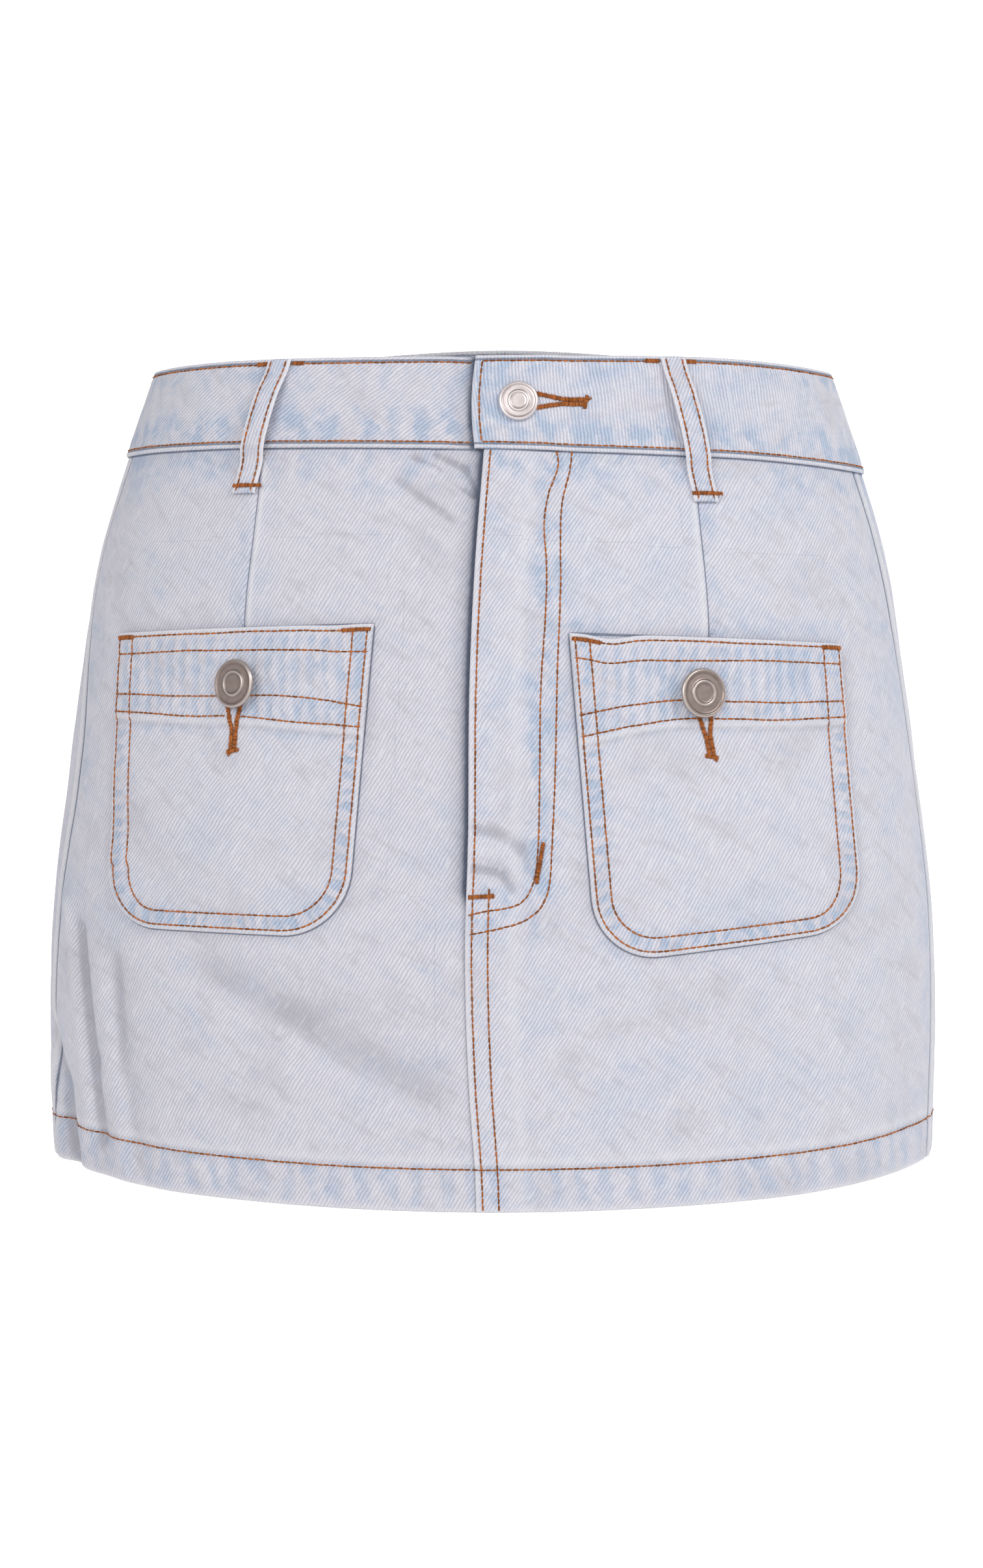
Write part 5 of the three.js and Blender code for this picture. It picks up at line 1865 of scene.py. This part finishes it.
class SKIRT_OT_stage(bpy.types.Operator):
    """Floor, backdrop, light and camera"""

    bl_idname = "skirt.stage"
    bl_label = "Stage"

    def execute(self, context):
        _, _, stage = settings_of(context)
        bm = bmesh.new()
        outline = [(0, 0, FLOOR_Z), (BEND_START / 2, 0, FLOOR_Z)]
        for t in np.linspace(0, math.pi / 2, 13):
            wide = BEND_START + BEND_RADIUS * math.sin(t)
            outline.append((wide, 0, FLOOR_Z + BEND_RADIUS * (1 - math.cos(t))))
        outline.append((BEND_START + BEND_RADIUS, 0, WALL_TOP))
        turned(bm, outline, (0, 0, 1), 64, 1e-5)
        mesh = mesh_from(bm, "backdrop")
        backdrop = bpy.data.objects.new("backdrop", mesh)
        context.collection.objects.link(backdrop)
        mesh.shade_smooth()
        glowing_paper = Graph("glowing_paper")
        parts = glowing_paper.node("ShaderNodeSeparateXYZ", {}, glowing_paper.object_place())
        # The backdrop glows, standing in for lamps: white where the camera sees it, and a dimmer grey glow
        # round the rest, so that the cloth is lit softly
        beside = Value(glowing_paper, parts.outputs[0]).between(-3.4, -1.5)
        behind = Value(glowing_paper, parts.outputs[1]).between(-1.0, 1.5) * beside
        glow = glowing_paper.blend(behind, WALL_GLOW, WHITE)
        glowing_paper.surface(base_color=(0.5, 0.5, 0.5, 1), roughness=0.9,
                      emission_color=glow, emission_strength=1.0)
        mesh.materials.append(glowing_paper.material)

        scene = context.scene
        world = bpy.data.worlds.new("studio")
        world.use_nodes = True
        background = world.node_tree.nodes["Background"]
        background.inputs["Color"].default_value = WHITE
        background.inputs["Strength"].default_value = WORLD_POWER
        scene.world = world
        scene.view_settings.view_transform = "Standard"

        for name, place, size, share in LIGHTS:
            data = bpy.data.lights.new(name, "AREA")
            data.size = size
            data.energy = stage.key_power * share
            lamp = bpy.data.objects.new(name, data)
            lamp.location = place
            aim = LIGHT_AIM - Vector(place)
            lamp.rotation_euler = aim.to_track_quat("-Z", "Y").to_euler()
            context.collection.objects.link(lamp)

        camera_data = bpy.data.cameras.new("photo_camera")
        camera_data.sensor_width = SENSOR_WIDTH
        camera_data.lens = PHOTO_FOCAL_PIXELS / PHOTO_LONG_SIDE * SENSOR_WIDTH
        camera = bpy.data.objects.new("photo_camera", camera_data)
        turn, distance = stage.camera_turn, stage.camera_distance
        camera.location = (distance * math.sin(turn), -distance * math.cos(turn), PHOTO_EYE_Z * MM)
        tilt = math.atan((PHOTO_LONG_SIDE / 2 - PHOTO_EYE_ROW) / PHOTO_FOCAL_PIXELS)
        camera.rotation_euler = (math.pi / 2 - tilt, 0, turn)
        context.collection.objects.link(camera)
        scene.camera = camera
        return {"FINISHED"}


class SKIRT_PT_panel(bpy.types.Panel):
    """The skirt's pieces and settings"""

    bl_idname = "SKIRT_PT_panel"
    bl_label = "Denim mini skirt"
    bl_space_type = "VIEW_3D"
    bl_region_type = "UI"
    bl_category = "Skirt"

    def draw(self, context):
        layout = self.layout
        for settings in settings_of(context):
            for key in settings.__annotations__:
                layout.prop(settings, key)
        for operator in OPERATORS:
            layout.operator(operator.bl_idname)


GROUPS = {
    "skirt_cloth": SkirtClothSettings,
    "skirt_thread": SkirtThreadSettings,
    "skirt_stage": SkirtStageSettings,
}
OPERATORS = (
    SKIRT_OT_stage, SKIRT_OT_panels, SKIRT_OT_waistband, SKIRT_OT_pockets, SKIRT_OT_belt_loops,
    SKIRT_OT_topstitching, SKIRT_OT_buttonholes, SKIRT_OT_buttons, SKIRT_OT_zip,
)


def register():
    for cls in (*GROUPS.values(), *OPERATORS, SKIRT_PT_panel):
        bpy.utils.register_class(cls)
    for key, group in GROUPS.items():
        setattr(bpy.types.Scene, key, PointerProperty(type=group))


def unregister():
    for key in GROUPS:
        delattr(bpy.types.Scene, key)
    for cls in reversed((*GROUPS.values(), *OPERATORS, SKIRT_PT_panel)):
        bpy.utils.unregister_class(cls)


def main():
    register()
    for operator in OPERATORS:
        group, action = operator.bl_idname.split(".")
        getattr(getattr(bpy.ops, group), action)()


if __name__ == "__main__":
    main()
